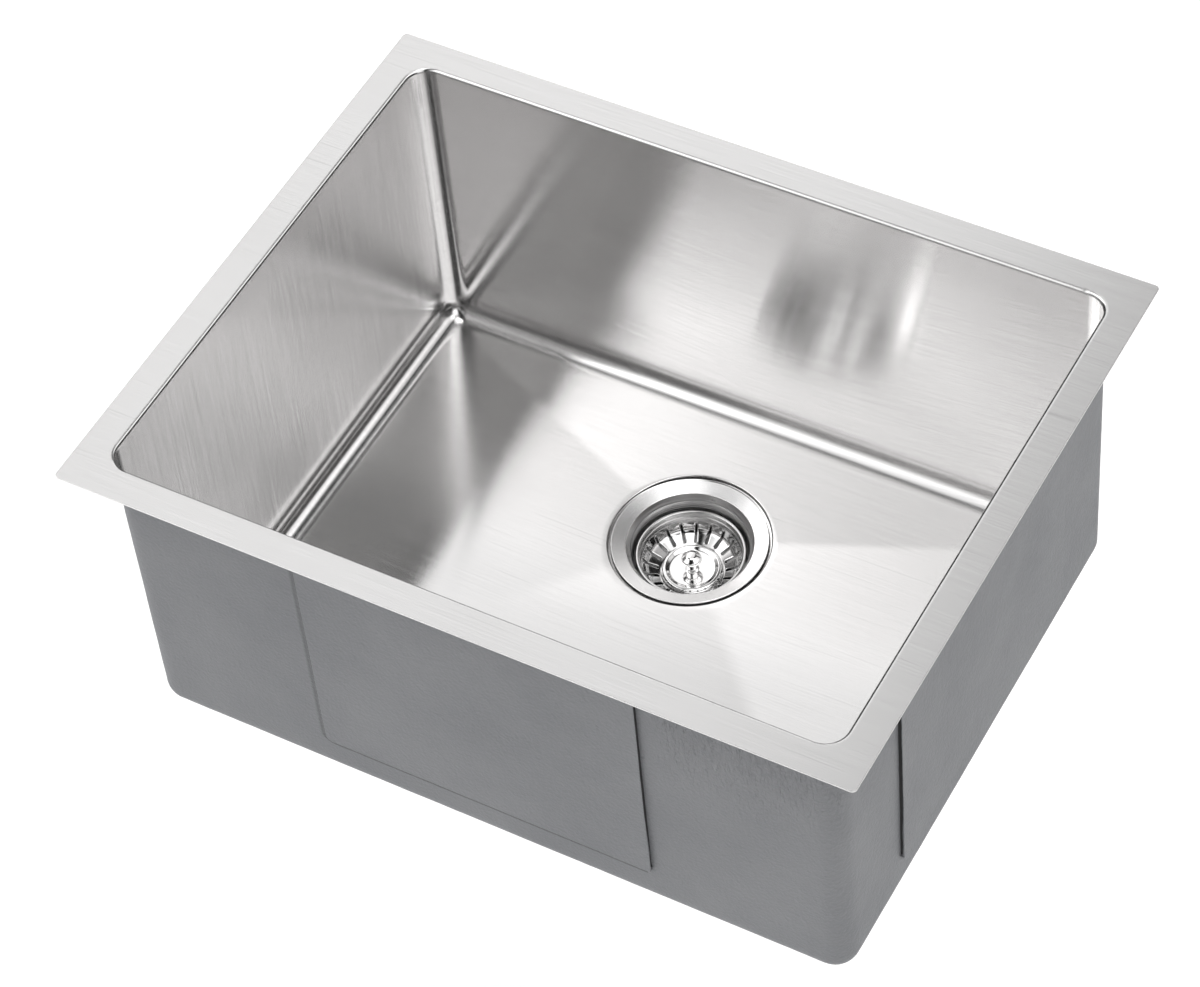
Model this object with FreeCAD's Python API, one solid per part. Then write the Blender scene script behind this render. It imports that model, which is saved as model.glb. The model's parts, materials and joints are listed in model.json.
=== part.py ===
import FreeCAD, Part
import math
import os

os.makedirs("parts", exist_ok=True)
V = FreeCAD.Vector

# Undermount kitchen sink with basket strainer. Millimetres.
# Frame: origin at the centre of the bowl opening, in the plane of the flange's
# top face (the underside of the counter). +X along the long side, +Y to the
# side the drain is nearer to (the back), +Z up.

# ---------------------------------------------------------------- bowl
flange_len = 584.2          # outer length, 23 in
flange_wid = 457.2          # outer width, 18 in
flange_corner_r = 3.5
steel_t = 1.2               # sheet thickness
bowl_len = 535.4            # between the inner wall faces
bowl_wid = 407.4
wall_corner_r = 16.0        # vertical inner corners
cove_r = 15.0               # wall to floor
bend_r = 2.7                # flange to wall, on the upper face
depth_at_wall = 255.0       # flange face to the rim of the floor
floor_drop = 5.5            # fall from the rim of the floor to the drain
floor_inset = 2.7           # flat strip between the cove and the creased floor

# ---------------------------------------------------------------- drain
drain_x = 0.0
drain_y = 82.2
recess_r = 59.5             # inner radius of the drawn recess
hole_r = 45.0               # waste hole

# ---------------------------------------------------------------- coat and pads
coat_t = 0.8
coat_top_z = -4.0
pad_t = 3.0
pad_corner_r = 6.0
pad_front_w = 252.0
pad_side_w = 250.0
pad_bottom_z = -218.0
pad_top_z = -18.0

# ---------------------------------------------------------------- strainer
str_flange_r = 57.15        # 4.5 in flange
str_top_z = -259.6          # highest point of the flange
str_slope = 0.25            # the flange falls towards the cup
str_t = 1.1
cup_wall_r = 42.2
cup_wall_r2 = 41.4
neck_in_r = 21.5
neck_out_r = 24.0
neck_end_z = -331.0
tail_out_r = 19.05          # 1-1/2 in tube
tail_in_r = 18.0
tail_waist_r = 18.9         # the tube is a little smaller where the nut sits
tail_waist_z = -344.0
tail_end_z = -430.0

# ---------------------------------------------------------------- basket
rim_r = 39.9
rim_z = -273.0
basket_t = 0.9
slot_count = 20
slot_in_r = 24.2
slot_out_r = 36.0
slot_w_in = 2.6
slot_w_out = 1.7
cap_r = 22.3
knob_r = 7.35
stem_r = 3.0
run_gap = 0.05              # radial clearance of the basket on its stem


def rrect_wire(x0, x1, y0, y1, r, z):
    """Closed wire of a rectangle with rounded corners, in the plane z."""
    e = []

    def arc(cx, cy, a0, a1):
        am = 0.5 * (a0 + a1)
        p = [V(cx + r * math.cos(a), cy + r * math.sin(a), z) for a in (a0, am, a1)]
        e.append(Part.Arc(p[0], p[1], p[2]).toShape())

    def line(ax, ay, bx, by):
        e.append(Part.LineSegment(V(ax, ay, z), V(bx, by, z)).toShape())

    h = math.pi / 2
    line(x0 + r, y0, x1 - r, y0)
    arc(x1 - r, y0 + r, -h, 0)
    line(x1, y0 + r, x1, y1 - r)
    arc(x1 - r, y1 - r, 0, h)
    line(x1 - r, y1, x0 + r, y1)
    arc(x0 + r, y1 - r, h, 2 * h)
    line(x0, y1 - r, x0, y0 + r)
    arc(x0 + r, y0 + r, 2 * h, 3 * h)
    return Part.Wire(e)


def rrect_prism(x0, x1, y0, y1, r, z0, z1):
    f = Part.Face(rrect_wire(x0, x1, y0, y1, r, z0))
    return f.extrude(V(0, 0, z1 - z0))


def box(x0, x1, y0, y1, z0, z1):
    return Part.makeBox(x1 - x0, y1 - y0, z1 - z0, V(x0, y0, z0))


def profile_face(pts):
    """Face in the XZ plane from points (radius, z, fillet), closed in order."""
    n = len(pts)
    P = [(p[0], p[1]) for p in pts]
    F = [p[2] if len(p) > 2 else 0.0 for p in pts]
    ends = []
    for i in range(n):
        p, a, b = P[i], P[i - 1], P[(i + 1) % n]
        if F[i] <= 0:
            ends.append((p, None, p))
            continue
        u = (a[0] - p[0], a[1] - p[1])
        w = (b[0] - p[0], b[1] - p[1])
        lu, lw = math.hypot(*u), math.hypot(*w)
        u = (u[0] / lu, u[1] / lu)
        w = (w[0] / lw, w[1] / lw)
        c = max(-1.0, min(1.0, u[0] * w[0] + u[1] * w[1]))
        half = 0.5 * math.acos(c)
        t = F[i] / math.tan(half)
        d = F[i] / math.sin(half)
        bis = (u[0] + w[0], u[1] + w[1])
        lb = math.hypot(*bis)
        bis = (bis[0] / lb, bis[1] / lb)
        cen = (p[0] + bis[0] * d, p[1] + bis[1] * d)
        mid = (cen[0] - bis[0] * F[i], cen[1] - bis[1] * F[i])
        ends.append(
            ((p[0] + u[0] * t, p[1] + u[1] * t), mid, (p[0] + w[0] * t, p[1] + w[1] * t))
        )
    edges = []

    def v3(q):
        return V(q[0], 0, q[1])

    for i in range(n):
        s, m, e = ends[i]
        if m is not None:
            edges.append(Part.Arc(v3(s), v3(m), v3(e)).toShape())
        nx = ends[(i + 1) % n][0]
        if math.hypot(nx[0] - e[0], nx[1] - e[1]) > 1e-6:
            edges.append(Part.LineSegment(v3(e), v3(nx)).toShape())
    return Part.Face(Part.Wire(edges))


def spin(pts, cx=drain_x, cy=drain_y):
    """Solid of revolution about the vertical axis through the drain."""
    s = profile_face(pts).revolve(V(0, 0, 0), V(0, 0, 1), 360)
    s.translate(V(cx, cy, 0))
    return s


def ring(r0, r1, z0, z1, cx=drain_x, cy=drain_y):
    a = Part.makeCylinder(r1, z1 - z0, V(cx, cy, z0))
    return a.cut(Part.makeCylinder(r0, z1 - z0 + 2, V(cx, cy, z0 - 1)))


def block(grow, z_top, drop=0.0):
    """The bowl's cavity, grown outwards by `grow`: a box with rounded vertical
    corners and coves, plus the shallow four-sided fall to the drain."""
    hx, hy = bowl_len / 2 + grow, bowl_wid / 2 + grow
    zb = -depth_at_wall - grow
    s = rrect_prism(-hx, hx, -hy, hy, wall_corner_r + grow, zb, z_top)
    low = [e for e in s.Edges if abs(e.BoundBox.ZMax - zb) < 1e-6]
    s = s.makeFillet(cove_r + grow, low)
    bx = bowl_len / 2 - cove_r - floor_inset
    by = bowl_wid / 2 - cove_r - floor_inset
    base = [V(-bx, -by, zb), V(bx, -by, zb), V(bx, by, zb), V(-bx, by, zb)]
    apex = V(drain_x, drain_y, zb - floor_drop)
    faces = [Part.Face(Part.makePolygon(base + [base[0]]))]
    for i in range(4):
        a, b = base[i], base[(i + 1) % 4]
        faces.append(Part.Face(Part.makePolygon([a, b, apex, a])))
    pyr = Part.Solid(Part.Shell(faces))
    if pyr.Volume < 0:
        pyr.reverse()
    # the fall is stretched up a little into the block, so the two overlap
    lift = box(-bx, bx, -by, by, zb, zb + 4.0)
    s = s.fuse(pyr.fuse(lift)).removeSplitter()
    if drop:
        s.translate(V(0, 0, -drop))
    return s


def export(name, shape):
    sol = shape.Solids
    out = sol[0] if len(sol) == 1 else Part.makeCompound(sol)
    out.exportStep("parts/%s.step" % name)
    print(
        "%-24s solids %d valid %s vol %.2f cm3 box %s"
        % (
            name,
            len(sol),
            all(s.isValid() for s in sol),
            out.Volume / 1000,
            [round(q, 1) for q in (out.BoundBox.XMin, out.BoundBox.XMax, out.BoundBox.YMin, out.BoundBox.YMax, out.BoundBox.ZMin, out.BoundBox.ZMax)],
        )
    )
    return out


# ================================================================ bowl
inner = block(0.0, 10.0)
outer = block(steel_t, -0.5 * steel_t)

hx, hy = flange_len / 2, flange_wid / 2
plate = rrect_prism(-hx, hx, -hy, hy, flange_corner_r, -steel_t, 0.0)
skin_top = plate.fuse(outer).removeSplitter()
# concave bend under the flange
ox, oy = bowl_len / 2 + steel_t, bowl_wid / 2 + steel_t
under = [
    e
    for e in skin_top.Edges
    if abs(e.BoundBox.ZMax + steel_t) < 1e-5
    and abs(e.BoundBox.ZMin + steel_t) < 1e-5
    and e.BoundBox.XMax < ox + 0.01
    and e.BoundBox.XMin > -ox - 0.01
    and e.BoundBox.YMax < oy + 0.01
    and e.BoundBox.YMin > -oy - 0.01
]
skin_top = skin_top.makeFillet(bend_r - steel_t, under)
bowl = skin_top.cut(inner)
mouth = [
    e
    for e in bowl.Edges
    if abs(e.BoundBox.ZMax) < 1e-5
    and abs(e.BoundBox.ZMin) < 1e-5
    and e.BoundBox.XMax < ox
    and e.BoundBox.XMin > -ox
    and e.BoundBox.YMax < oy
    and e.BoundBox.YMin > -oy
]
bowl = bowl.makeFillet(bend_r, mouth)

# drawn recess for the strainer flange, with its conical seat
def z_top(r):
    return str_top_z - str_slope * (56.3 - r)


perp = math.sqrt(1 + str_slope ** 2)


def z_under(r):
    return z_top(r) - (str_t - 0.1) * perp


seal_t = 1.2


def z_seat(r):
    return z_under(r) - seal_t * perp


def z_seat_low(r):
    return z_seat(r) - steel_t * perp


collar = spin(
    [
        (recess_r, -250.0),
        (recess_r, z_seat(recess_r), 1.0),
        (hole_r, z_seat(hole_r)),
        (hole_r, z_seat_low(hole_r)),
        (recess_r + steel_t, z_seat_low(recess_r + steel_t), 2.2),
        (recess_r + steel_t, -250.0),
    ]
)
collar = collar.cut(inner)
bowl = bowl.cut(Part.makeCylinder(recess_r + 0.6, 40, V(drain_x, drain_y, -280)))
bowl = bowl.fuse(collar).removeSplitter()
sink_bowl = export("sink_bowl", bowl)

# ================================================================ pads and coat
ob = block(steel_t, coat_top_z)
co = block(steel_t + coat_t, coat_top_z)
fy, fx = oy, ox


def wall_pad(side, grow, lift):
    """Flat pad with rounded corners on one wall; grow widens three of its
    sides, lift thickens it. The fourth side is the uncoated one."""
    w = pad_front_w if side in ("front", "back") else pad_side_w
    z0, z1 = pad_bottom_z - grow, pad_top_z + grow
    a0, a1 = -w / 2 - grow, w / 2
    r = pad_corner_r + grow
    f = Part.Face(rrect_wire(a0, a1, z0, z1, r, 0))
    s = f.extrude(V(0, 0, pad_t + lift))
    # local x along the wall, local y up, local z out of the wall
    m = {
        "front": (V(1, 0, 0), V(0, -1, 0), V(0, -fy, 0)),
        "right": (V(0, -1, 0), V(1, 0, 0), V(fx, 0, 0)),
        "back": (V(-1, 0, 0), V(0, 1, 0), V(0, fy, 0)),
        "left": (V(0, 1, 0), V(-1, 0, 0), V(-fx, 0, 0)),
    }[side]
    ax, out, org = m
    return placed(s, ax, V(0, 0, 1), out, org)


def placed(s, ax, ay, az, org):
    """Moves a shape so its own axes lie along ax, ay, az. Where those are
    left-handed the shape is mirrored first."""
    s = s.copy()
    if ax.cross(ay).dot(az) < 0:
        s = s.mirror(V(0, 0, 0), V(1, 0, 0))
        ax = V(-ax.x, -ax.y, -ax.z)
    m = FreeCAD.Matrix(
        ax.x, ay.x, az.x, org.x,
        ax.y, ay.y, az.y, org.y,
        ax.z, ay.z, az.z, org.z,
        0, 0, 0, 1,
    )
    s.Placement = FreeCAD.Placement(m).multiply(s.Placement)
    return s


pads = {}
over = []
for side in ("front", "right", "back", "left"):
    pads["sound_pad_" + side] = wall_pad(side, 0.0, 0.0)
    over.append(wall_pad(side, coat_t, coat_t))

floor_pads = {
    "sound_pad_floor_front": (-125.0, 125.0, -152.0, -7.0),
    "sound_pad_floor_left": (-236.0, -146.0, -62.0, 128.0),
    "sound_pad_floor_right": (146.0, 236.0, -62.0, 128.0),
}
ob_pad = block(steel_t, coat_top_z, drop=pad_t)
ob_pad_coat = block(steel_t, coat_top_z, drop=pad_t + coat_t)
for name, (x0, x1, y0, y1) in floor_pads.items():
    p = rrect_prism(x0, x1, y0, y1, pad_corner_r, -285, -250)
    pads[name] = p.common(ob_pad).cut(ob)
    q = rrect_prism(x0 - coat_t, x1 + coat_t, y0 - coat_t, y1 + coat_t, pad_corner_r + coat_t, -285, -250)
    over.append(q.common(ob_pad_coat))

coat = co
for o in over:
    coat = coat.fuse(o)
coat = coat.cut(ob)
for p in pads.values():
    coat = coat.cut(p)
coat = coat.cut(Part.makeCylinder(62.0, 60, V(drain_x, drain_y, -300)))
export("undercoating", coat)
for name, p in pads.items():
    export(name, p)

# ================================================================ strainer body
bend_c = 5.8
body = spin(
    [
        (str_flange_r, z_top(str_flange_r) - 0.05, 0.45),
        (cup_wall_r, z_top(cup_wall_r), bend_c),
        (cup_wall_r2, -300.5, 3.2),
        (36.0, -302.6, 4.0),
        (neck_in_r, -308.2, 2.5),
        (neck_in_r, neck_end_z),
        (neck_out_r, neck_end_z, 0.4),
        (neck_out_r, -309.9, 1.2),
        (36.2, -303.9 - 0.2, 4.0),
        (cup_wall_r2 + str_t, -301.7, 4.2),
        (cup_wall_r + str_t, z_under(cup_wall_r + str_t), bend_c - str_t),
        (str_flange_r, z_under(str_flange_r) + 0.05, 0.45),
    ]
)
export("strainer_body", body)

# cross in the outlet neck
cross = Part.makeCylinder(6.0, 2.5, V(drain_x, drain_y, -324.0))
for a in (0, 90):
    bar = Part.makeBox(2 * neck_in_r - 0.04, 4.0, 2.5, V(-neck_in_r + 0.02, -2.0, 0))
    bar = bar.common(Part.makeCylinder(neck_in_r - 0.02, 2.5))
    bar.rotate(V(0, 0, 0), V(0, 0, 1), a)
    bar.translate(V(drain_x, drain_y, -324.0))
    cross = cross.fuse(bar)
cross = cross.removeSplitter()
cross = cross.cut(Part.makeCylinder(3.6, 10, V(drain_x, drain_y, -328)))
export("strainer_crossbar", cross)

# seal between flange and recess
g = 0.02
seal = spin(
    [
        (56.5, z_under(56.5) - g),
        (47.3, z_under(47.3) - g),
        (47.3, z_seat(47.3) + g),
        (56.5, z_seat(56.5) + g),
    ]
)
export("flange_seal", seal)

# below the bowl: tapered rubber gasket, fibre ring, locknut
gasket_low_z = -269.2
bo = cup_wall_r + str_t + 0.25
lower = spin(
    [
        (bo + 1.9, z_seat_low(bo + 1.9) - g),
        (57.0, z_seat_low(57.0) - g, 0.6),
        (57.0, gasket_low_z, 0.6),
        (bo, gasket_low_z),
        (bo, z_seat_low(bo + 1.9) - g - 0.6),
    ]
)
export("lower_gasket", lower)
friction = ring(bo, 57.0, gasket_low_z - g - 1.0, gasket_low_z - g)
export("friction_ring", friction)

nut_top = gasket_low_z - 2 * g - 1.0
nut_bot = nut_top - 12.0
locknut = spin(
    [
        (cup_wall_r + str_t + 0.05, nut_top),
        (56.0, nut_top, 0.8),
        (56.0, nut_top - 3.0, 0.5),
        (50.5, nut_top - 3.0, 0.5),
        (50.5, nut_bot, 0.8),
        (cup_wall_r + str_t + 0.05, nut_bot),
    ]
)
for i in range(8):
    lug = Part.makeBox(7.0, 6.0, 8.4, V(48.0, -3.0, nut_bot + 0.4))
    lug.rotate(V(0, 0, 0), V(0, 0, 1), 45 * i + 22.5)
    lug.translate(V(drain_x, drain_y, 0))
    locknut = locknut.fuse(lug)
locknut = locknut.removeSplitter()
locknut = locknut.cut(Part.makeCylinder(cup_wall_r + str_t + 0.05, 40, V(drain_x, drain_y, nut_bot - 5)))
export("locknut", locknut)

# ================================================================ outlet
w_top = neck_end_z - g
export("outlet_washer", ring(tail_out_r + 0.6, neck_out_r - 0.6, w_top - 2.0, w_top))
tf = w_top - 2.0 - g
tail = spin(
    [
        (tail_in_r, tf, 0.5),
        (neck_out_r - 0.6, tf, 0.4),
        (neck_out_r - 0.6, tf - 1.3, 0.4),
        (tail_waist_r, tf - 1.3, 0.4),
        (tail_waist_r, tail_waist_z),
        (tail_out_r, tail_waist_z - 0.6),
        (tail_out_r, tail_end_z, 0.3),
        (tail_in_r, tail_end_z, 0.3),
    ]
)
export("tailpiece", tail)

cn_top, cn_bot = -317.0, tf - 1.3 - 3.2
hexr = 29.5
hexw = Part.makePolygon(
    [V(hexr * math.cos(math.radians(60 * i + 30)), hexr * math.sin(math.radians(60 * i + 30)), cn_bot) for i in range(7)]
)
nut = Part.Face(hexw).extrude(V(0, 0, cn_top - cn_bot - 4.0))
nut = nut.fuse(Part.makeCylinder(26.6, 6.0, V(0, 0, cn_top - 6.0)))
dome = Part.makeCone(26.4, 29.6, 3.2, V(0, 0, cn_bot)).fuse(
    Part.makeCylinder(29.6, 60, V(0, 0, cn_bot + 3.2))
)
nut = nut.common(dome).removeSplitter()
nut = nut.cut(Part.makeCylinder(neck_out_r + 0.05, 100, V(0, 0, tf - 1.3 - 0.05)))
nut = nut.cut(Part.makeCylinder(tail_out_r + 0.5, 100, V(0, 0, cn_bot - 10)))
nut.translate(V(drain_x, drain_y, 0))
export("coupling_nut", nut)

# ================================================================ basket
hole = stem_r + run_gap
t = basket_t
cup = spin(
    [
        (hole, -292.4),
        (22.6, -292.4, 2.5),
        (32.6, -287.6, 6.0),
        (36.5, -281.0, 1.6),
        (36.9, -277.4, 0.6),
        (37.5, -276.9, 0.6),
        (37.9, rim_z, 0.9),
        (rim_r, rim_z, 0.42),
        (rim_r, rim_z - t, 0.42),
        (37.9 + t, rim_z - t, 0.3),
        (37.5 + t, -277.4, 0.5),
        (36.9 + t, -277.9, 0.6),
        (36.5 + t, -281.4, 2.2),
        (33.1, -288.5, 6.8),
        (22.9, -292.4 - t, 3.3),
        (hole, -292.4 - t),
    ]
)


def slot(a):
    """Vertical cutter for one slot: round inner end, narrower outer end."""
    ri, ro, wi, wo = slot_in_r, slot_out_r, slot_w_in / 2, slot_w_out / 2
    z = -298.0
    e = [
        Part.LineSegment(V(ri + wi, -wi, z), V(ro - wo, -wo, z)).toShape(),
        Part.Arc(V(ro - wo, -wo, z), V(ro, 0, z), V(ro - wo, wo, z)).toShape(),
        Part.LineSegment(V(ro - wo, wo, z), V(ri + wi, wi, z)).toShape(),
        Part.Arc(V(ri + wi, wi, z), V(ri, 0, z), V(ri + wi, -wi, z)).toShape(),
    ]
    s = Part.Face(Part.Wire(e)).extrude(V(0, 0, 17.2))
    s.rotate(V(0, 0, 0), V(0, 0, 1), a)
    s.translate(V(drain_x, drain_y, 0))
    return s


cup = cup.cut(Part.makeCompound([slot(360.0 / slot_count * i + 4.0) for i in range(slot_count)]))
export("basket_cup", cup)

cap = spin(
    [
        (hole, -290.9),
        (17.0, -290.9, 2.0),
        (19.6, -289.6, 1.6),
        (21.4, -289.8, 1.2),
        (cap_r, -291.2, 0.6),
        (cap_r, -292.35, 0.2),
        (cap_r - 0.8, -292.35, 0.2),
        (cap_r - 0.9, -291.4, 0.5),
        (20.8, -290.7, 0.8),
        (19.4, -290.45, 1.2),
        (17.2, -291.8, 1.2),
        (hole, -291.8),
    ]
)
export("basket_cap", cap)

knob = spin(
    [
        (0.0, -275.9),
        (3.4, -276.1, 3.5),
        (knob_r, -278.6, 2.0),
        (knob_r, -280.9, 1.2),
        (4.4, -283.2, 1.4),
        (4.1, -288.6, 1.5),
        (5.4, -290.85, 0.3),
        (hole, -290.85),
        (hole, -281.0),
        (0.0, -281.0),
    ]
)
export("basket_knob", knob)

# ================================================================ stem and stopper
stem = spin(
    [
        (0.0, -281.3),
        (stem_r, -281.3, 0.3),
        (stem_r, -313.0, 0.6),
        (0.0, -313.0),
    ]
)
export("stem_post", stem)
stopper = spin(
    [
        (stem_r + 0.02, -293.7),
        (17.5, -293.7, 1.0),
        (19.5, -299.4, 3.0),
        (28.6, -303.2, 0.5),
        (29.0, -304.95, 0.4),
        (24.0, -306.1, 2.0),
        (15.0, -304.4, 2.0),
        (stem_r + 0.02, -304.4),
    ]
)
export("rubber_stopper", stopper)
export("stopper_washer", ring(stem_r + 0.02, 11.0, -305.62, -304.42))
nutw = Part.makePolygon(
    [V(5.77 * math.cos(math.radians(60 * i)), 5.77 * math.sin(math.radians(60 * i)), -310.6) for i in range(7)]
)
sn = Part.Face(nutw).extrude(V(0, 0, 4.95))
sn = sn.common(
    Part.makeCone(5.0, 5.9, 0.9, V(0, 0, -310.6)).fuse(Part.makeCylinder(5.9, 4.2, V(0, 0, -309.7)))
)
sn = sn.cut(Part.makeCylinder(stem_r + 0.02, 20, V(0, 0, -320)))
sn.translate(V(drain_x, drain_y, 0))
export("stem_nut", sn)
print("done")
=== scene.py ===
import json
import math

import bmesh
import bpy
import numpy as np
from mathutils import Matrix, Vector


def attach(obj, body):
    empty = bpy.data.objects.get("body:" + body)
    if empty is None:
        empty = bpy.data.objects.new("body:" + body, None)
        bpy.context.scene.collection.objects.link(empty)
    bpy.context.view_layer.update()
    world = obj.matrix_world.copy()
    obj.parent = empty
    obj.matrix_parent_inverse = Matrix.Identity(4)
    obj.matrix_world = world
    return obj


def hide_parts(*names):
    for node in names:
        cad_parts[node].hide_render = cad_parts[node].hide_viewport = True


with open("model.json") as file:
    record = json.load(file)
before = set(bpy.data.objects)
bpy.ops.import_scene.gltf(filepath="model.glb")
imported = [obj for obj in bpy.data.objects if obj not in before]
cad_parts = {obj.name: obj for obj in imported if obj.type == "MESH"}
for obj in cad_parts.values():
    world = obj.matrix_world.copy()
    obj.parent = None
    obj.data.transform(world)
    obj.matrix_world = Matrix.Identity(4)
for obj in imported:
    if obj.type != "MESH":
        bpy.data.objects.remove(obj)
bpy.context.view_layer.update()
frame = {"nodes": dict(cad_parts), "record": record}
nodes = frame["nodes"]
scene = bpy.context.scene

# Undermount kitchen sink with basket strainer. Sizes below are millimetres,
# meshes are made in metres.
MM = 0.001

# ------------------------------------------------------------------ sizes
FLANGE_X, FLANGE_Y, FLANGE_R = 292.1, 228.6, 3.5
T = 1.2
HX, HY = 267.7, 203.7
WALL_R, COVE_R, BEND_R = 16.0, 15.0, 2.7
DEPTH, DROP, INSET = 255.0, 5.5, 2.7
BX, BY = HX - COVE_R - INSET, HY - COVE_R - INSET
CX, CY = 0.0, 82.2
RECESS_R, HOLE_R = 59.5, 45.0
COAT, COAT_TOP, PAD = 0.8, -4.0, 3.0
PAD_Z0, PAD_Z1 = -218.0, -18.0
STR_R, STR_TOP, STR_SLOPE, STR_T = 57.15, -259.6, 0.25, 1.1
PERP = math.sqrt(1 + STR_SLOPE ** 2)


def z_top(r):
    return STR_TOP - STR_SLOPE * (56.3 - r)


def z_under(r):
    return z_top(r) - (STR_T - 0.1) * PERP


def z_seat(r):
    return z_under(r) - 1.2 * PERP


def z_seat_low(r):
    return z_seat(r) - T * PERP


# ------------------------------------------------------------------ small tools
def vnoise(p, cell, seed=0):
    """Smooth value noise from -1 to 1 at points p (n, 3); cell is the grid size."""
    q = np.asarray(p, float) / np.asarray(cell, float)
    i = np.floor(q).astype(np.int64)
    f = q - i
    w = f * f * f * (f * (f * 6 - 15) + 10)
    out = np.zeros(len(q))
    for dx in (0, 1):
        for dy in (0, 1):
            for dz in (0, 1):
                n = ((i[:, 0] + dx) * 73856093) ^ ((i[:, 1] + dy) * 19349663) ^ ((i[:, 2] + dz) * 83492791)
                n = (n ^ (seed * 2654435761)) & 0xFFFFFFFF
                n = ((n ^ (n >> 15)) * 2246822519) & 0xFFFFFFFF
                n = ((n ^ (n >> 13)) * 3266489917) & 0xFFFFFFFF
                n = n ^ (n >> 16)
                v = (n & 0xFFFF) / 32767.5 - 1
                wx = w[:, 0] if dx else 1 - w[:, 0]
                wy = w[:, 1] if dy else 1 - w[:, 1]
                wz = w[:, 2] if dz else 1 - w[:, 2]
                out += v * wx * wy * wz
    return out


def step(x, a, b):
    t = np.clip((x - a) / (b - a), 0, 1)
    return t * t * (3 - 2 * t)


def make_mesh(name, verts, faces, body, mats=(), mat_idx=None, uv=None, sharp=None, smooth=True):
    """Object from points in mm. uv is one pair per face corner, in metres."""
    me = bpy.data.meshes.new(name)
    me.from_pydata((np.asarray(verts, float) * MM).tolist(), [], [tuple(int(k) for k in f) for f in faces])
    for m in mats:
        me.materials.append(m)
    if mat_idx is not None:
        me.polygons.foreach_set("material_index", np.asarray(mat_idx, np.int32))
    if uv is not None:
        lay = me.uv_layers.new(name="grain")
        lay.data.foreach_set("uv", np.asarray(uv, np.float32).ravel())
    me.polygons.foreach_set("use_smooth", np.full(len(me.polygons), smooth))
    if sharp is not None:
        me.set_sharp_from_angle(angle=math.radians(sharp))
    me.update()
    ob = bpy.data.objects.new(name, me)
    scene.collection.objects.link(ob)
    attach(ob, body)
    return ob


def graded(length, fine, coarse, growth):
    """Positions from -length to length, close together at both ends."""
    out, x, s = [length], length, fine
    while x - s > s * 0.5:
        x -= s
        out.append(x)
        s = min(s * growth, coarse)
    half = np.array(out)
    return np.concatenate([-half, half[::-1]])


class Loops:
    """Rings of points round a rectangle with rounded corners. Every ring has
    the same stations, so any two can be joined."""

    def __init__(self, sx, sy, nc):
        self.sx = np.asarray(sx) / max(sx)
        self.sy = np.asarray(sy) / max(sy)
        self.nc = nc
        k = len(self.sx)
        m = len(self.sy)
        c = nc - 1
        self.n = 2 * k + 2 * m + 4 * c
        side = []
        for name, cnt in (("f", k), ("c", c), ("r", m), ("c", c), ("b", k), ("c", c), ("l", m), ("c", c)):
            side += [name] * cnt
        self.side = np.array(side)
        frac = np.full(self.n, -1.0)
        pos = 0
        for cnt in (k, m, k, m):
            pos += cnt
            frac[pos:pos + c] = np.arange(1, nc) / nc
            pos += c
        self.frac = frac

    def ring(self, hx, hy, r, z):
        lx, ly = hx - r, hy - r
        a = np.radians(90.0) * np.arange(1, self.nc) / self.nc
        ca, sa = r * np.cos(a), r * np.sin(a)
        sx, sy = self.sx * lx, self.sy * ly
        xs = np.concatenate([sx, lx + sa, np.full(len(sy), hx), lx + ca, sx[::-1], -lx - sa, np.full(len(sy), -hx), -lx - ca])
        ys = np.concatenate([np.full(len(sx), -hy), -ly - ca, sy, ly + sa, np.full(len(sx), hy), ly + ca, sy[::-1], -ly - sa])
        return np.stack([xs, ys, np.full(self.n, float(z))], 1)

    def outward(self):
        """Unit normal of the loop at each station."""
        a = np.radians(90.0) * np.arange(1, self.nc) / self.nc
        c, s = np.cos(a), np.sin(a)
        k, m = len(self.sx), len(self.sy)
        xs = np.concatenate([np.zeros(k), s, np.ones(m), c, np.zeros(k), -s, -np.ones(m), -c])
        ys = np.concatenate([-np.ones(k), -c, np.zeros(m), s, np.ones(k), c, np.zeros(m), -s])
        return np.stack([xs, ys, np.zeros(self.n)], 1)


def loft(rings, closed=False):
    """Quads between rings of equal length, each ring closed on itself."""
    n = len(rings[0])
    v = np.concatenate(rings)
    m = len(rings)
    j = np.arange(n)
    j1 = (j + 1) % n
    f = []
    for i in range(m if closed else m - 1):
        a, b = i * n, ((i + 1) % m) * n
        f.append(np.stack([a + j, a + j1, b + j1, b + j], 1))
    return v, np.concatenate(f)


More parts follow.
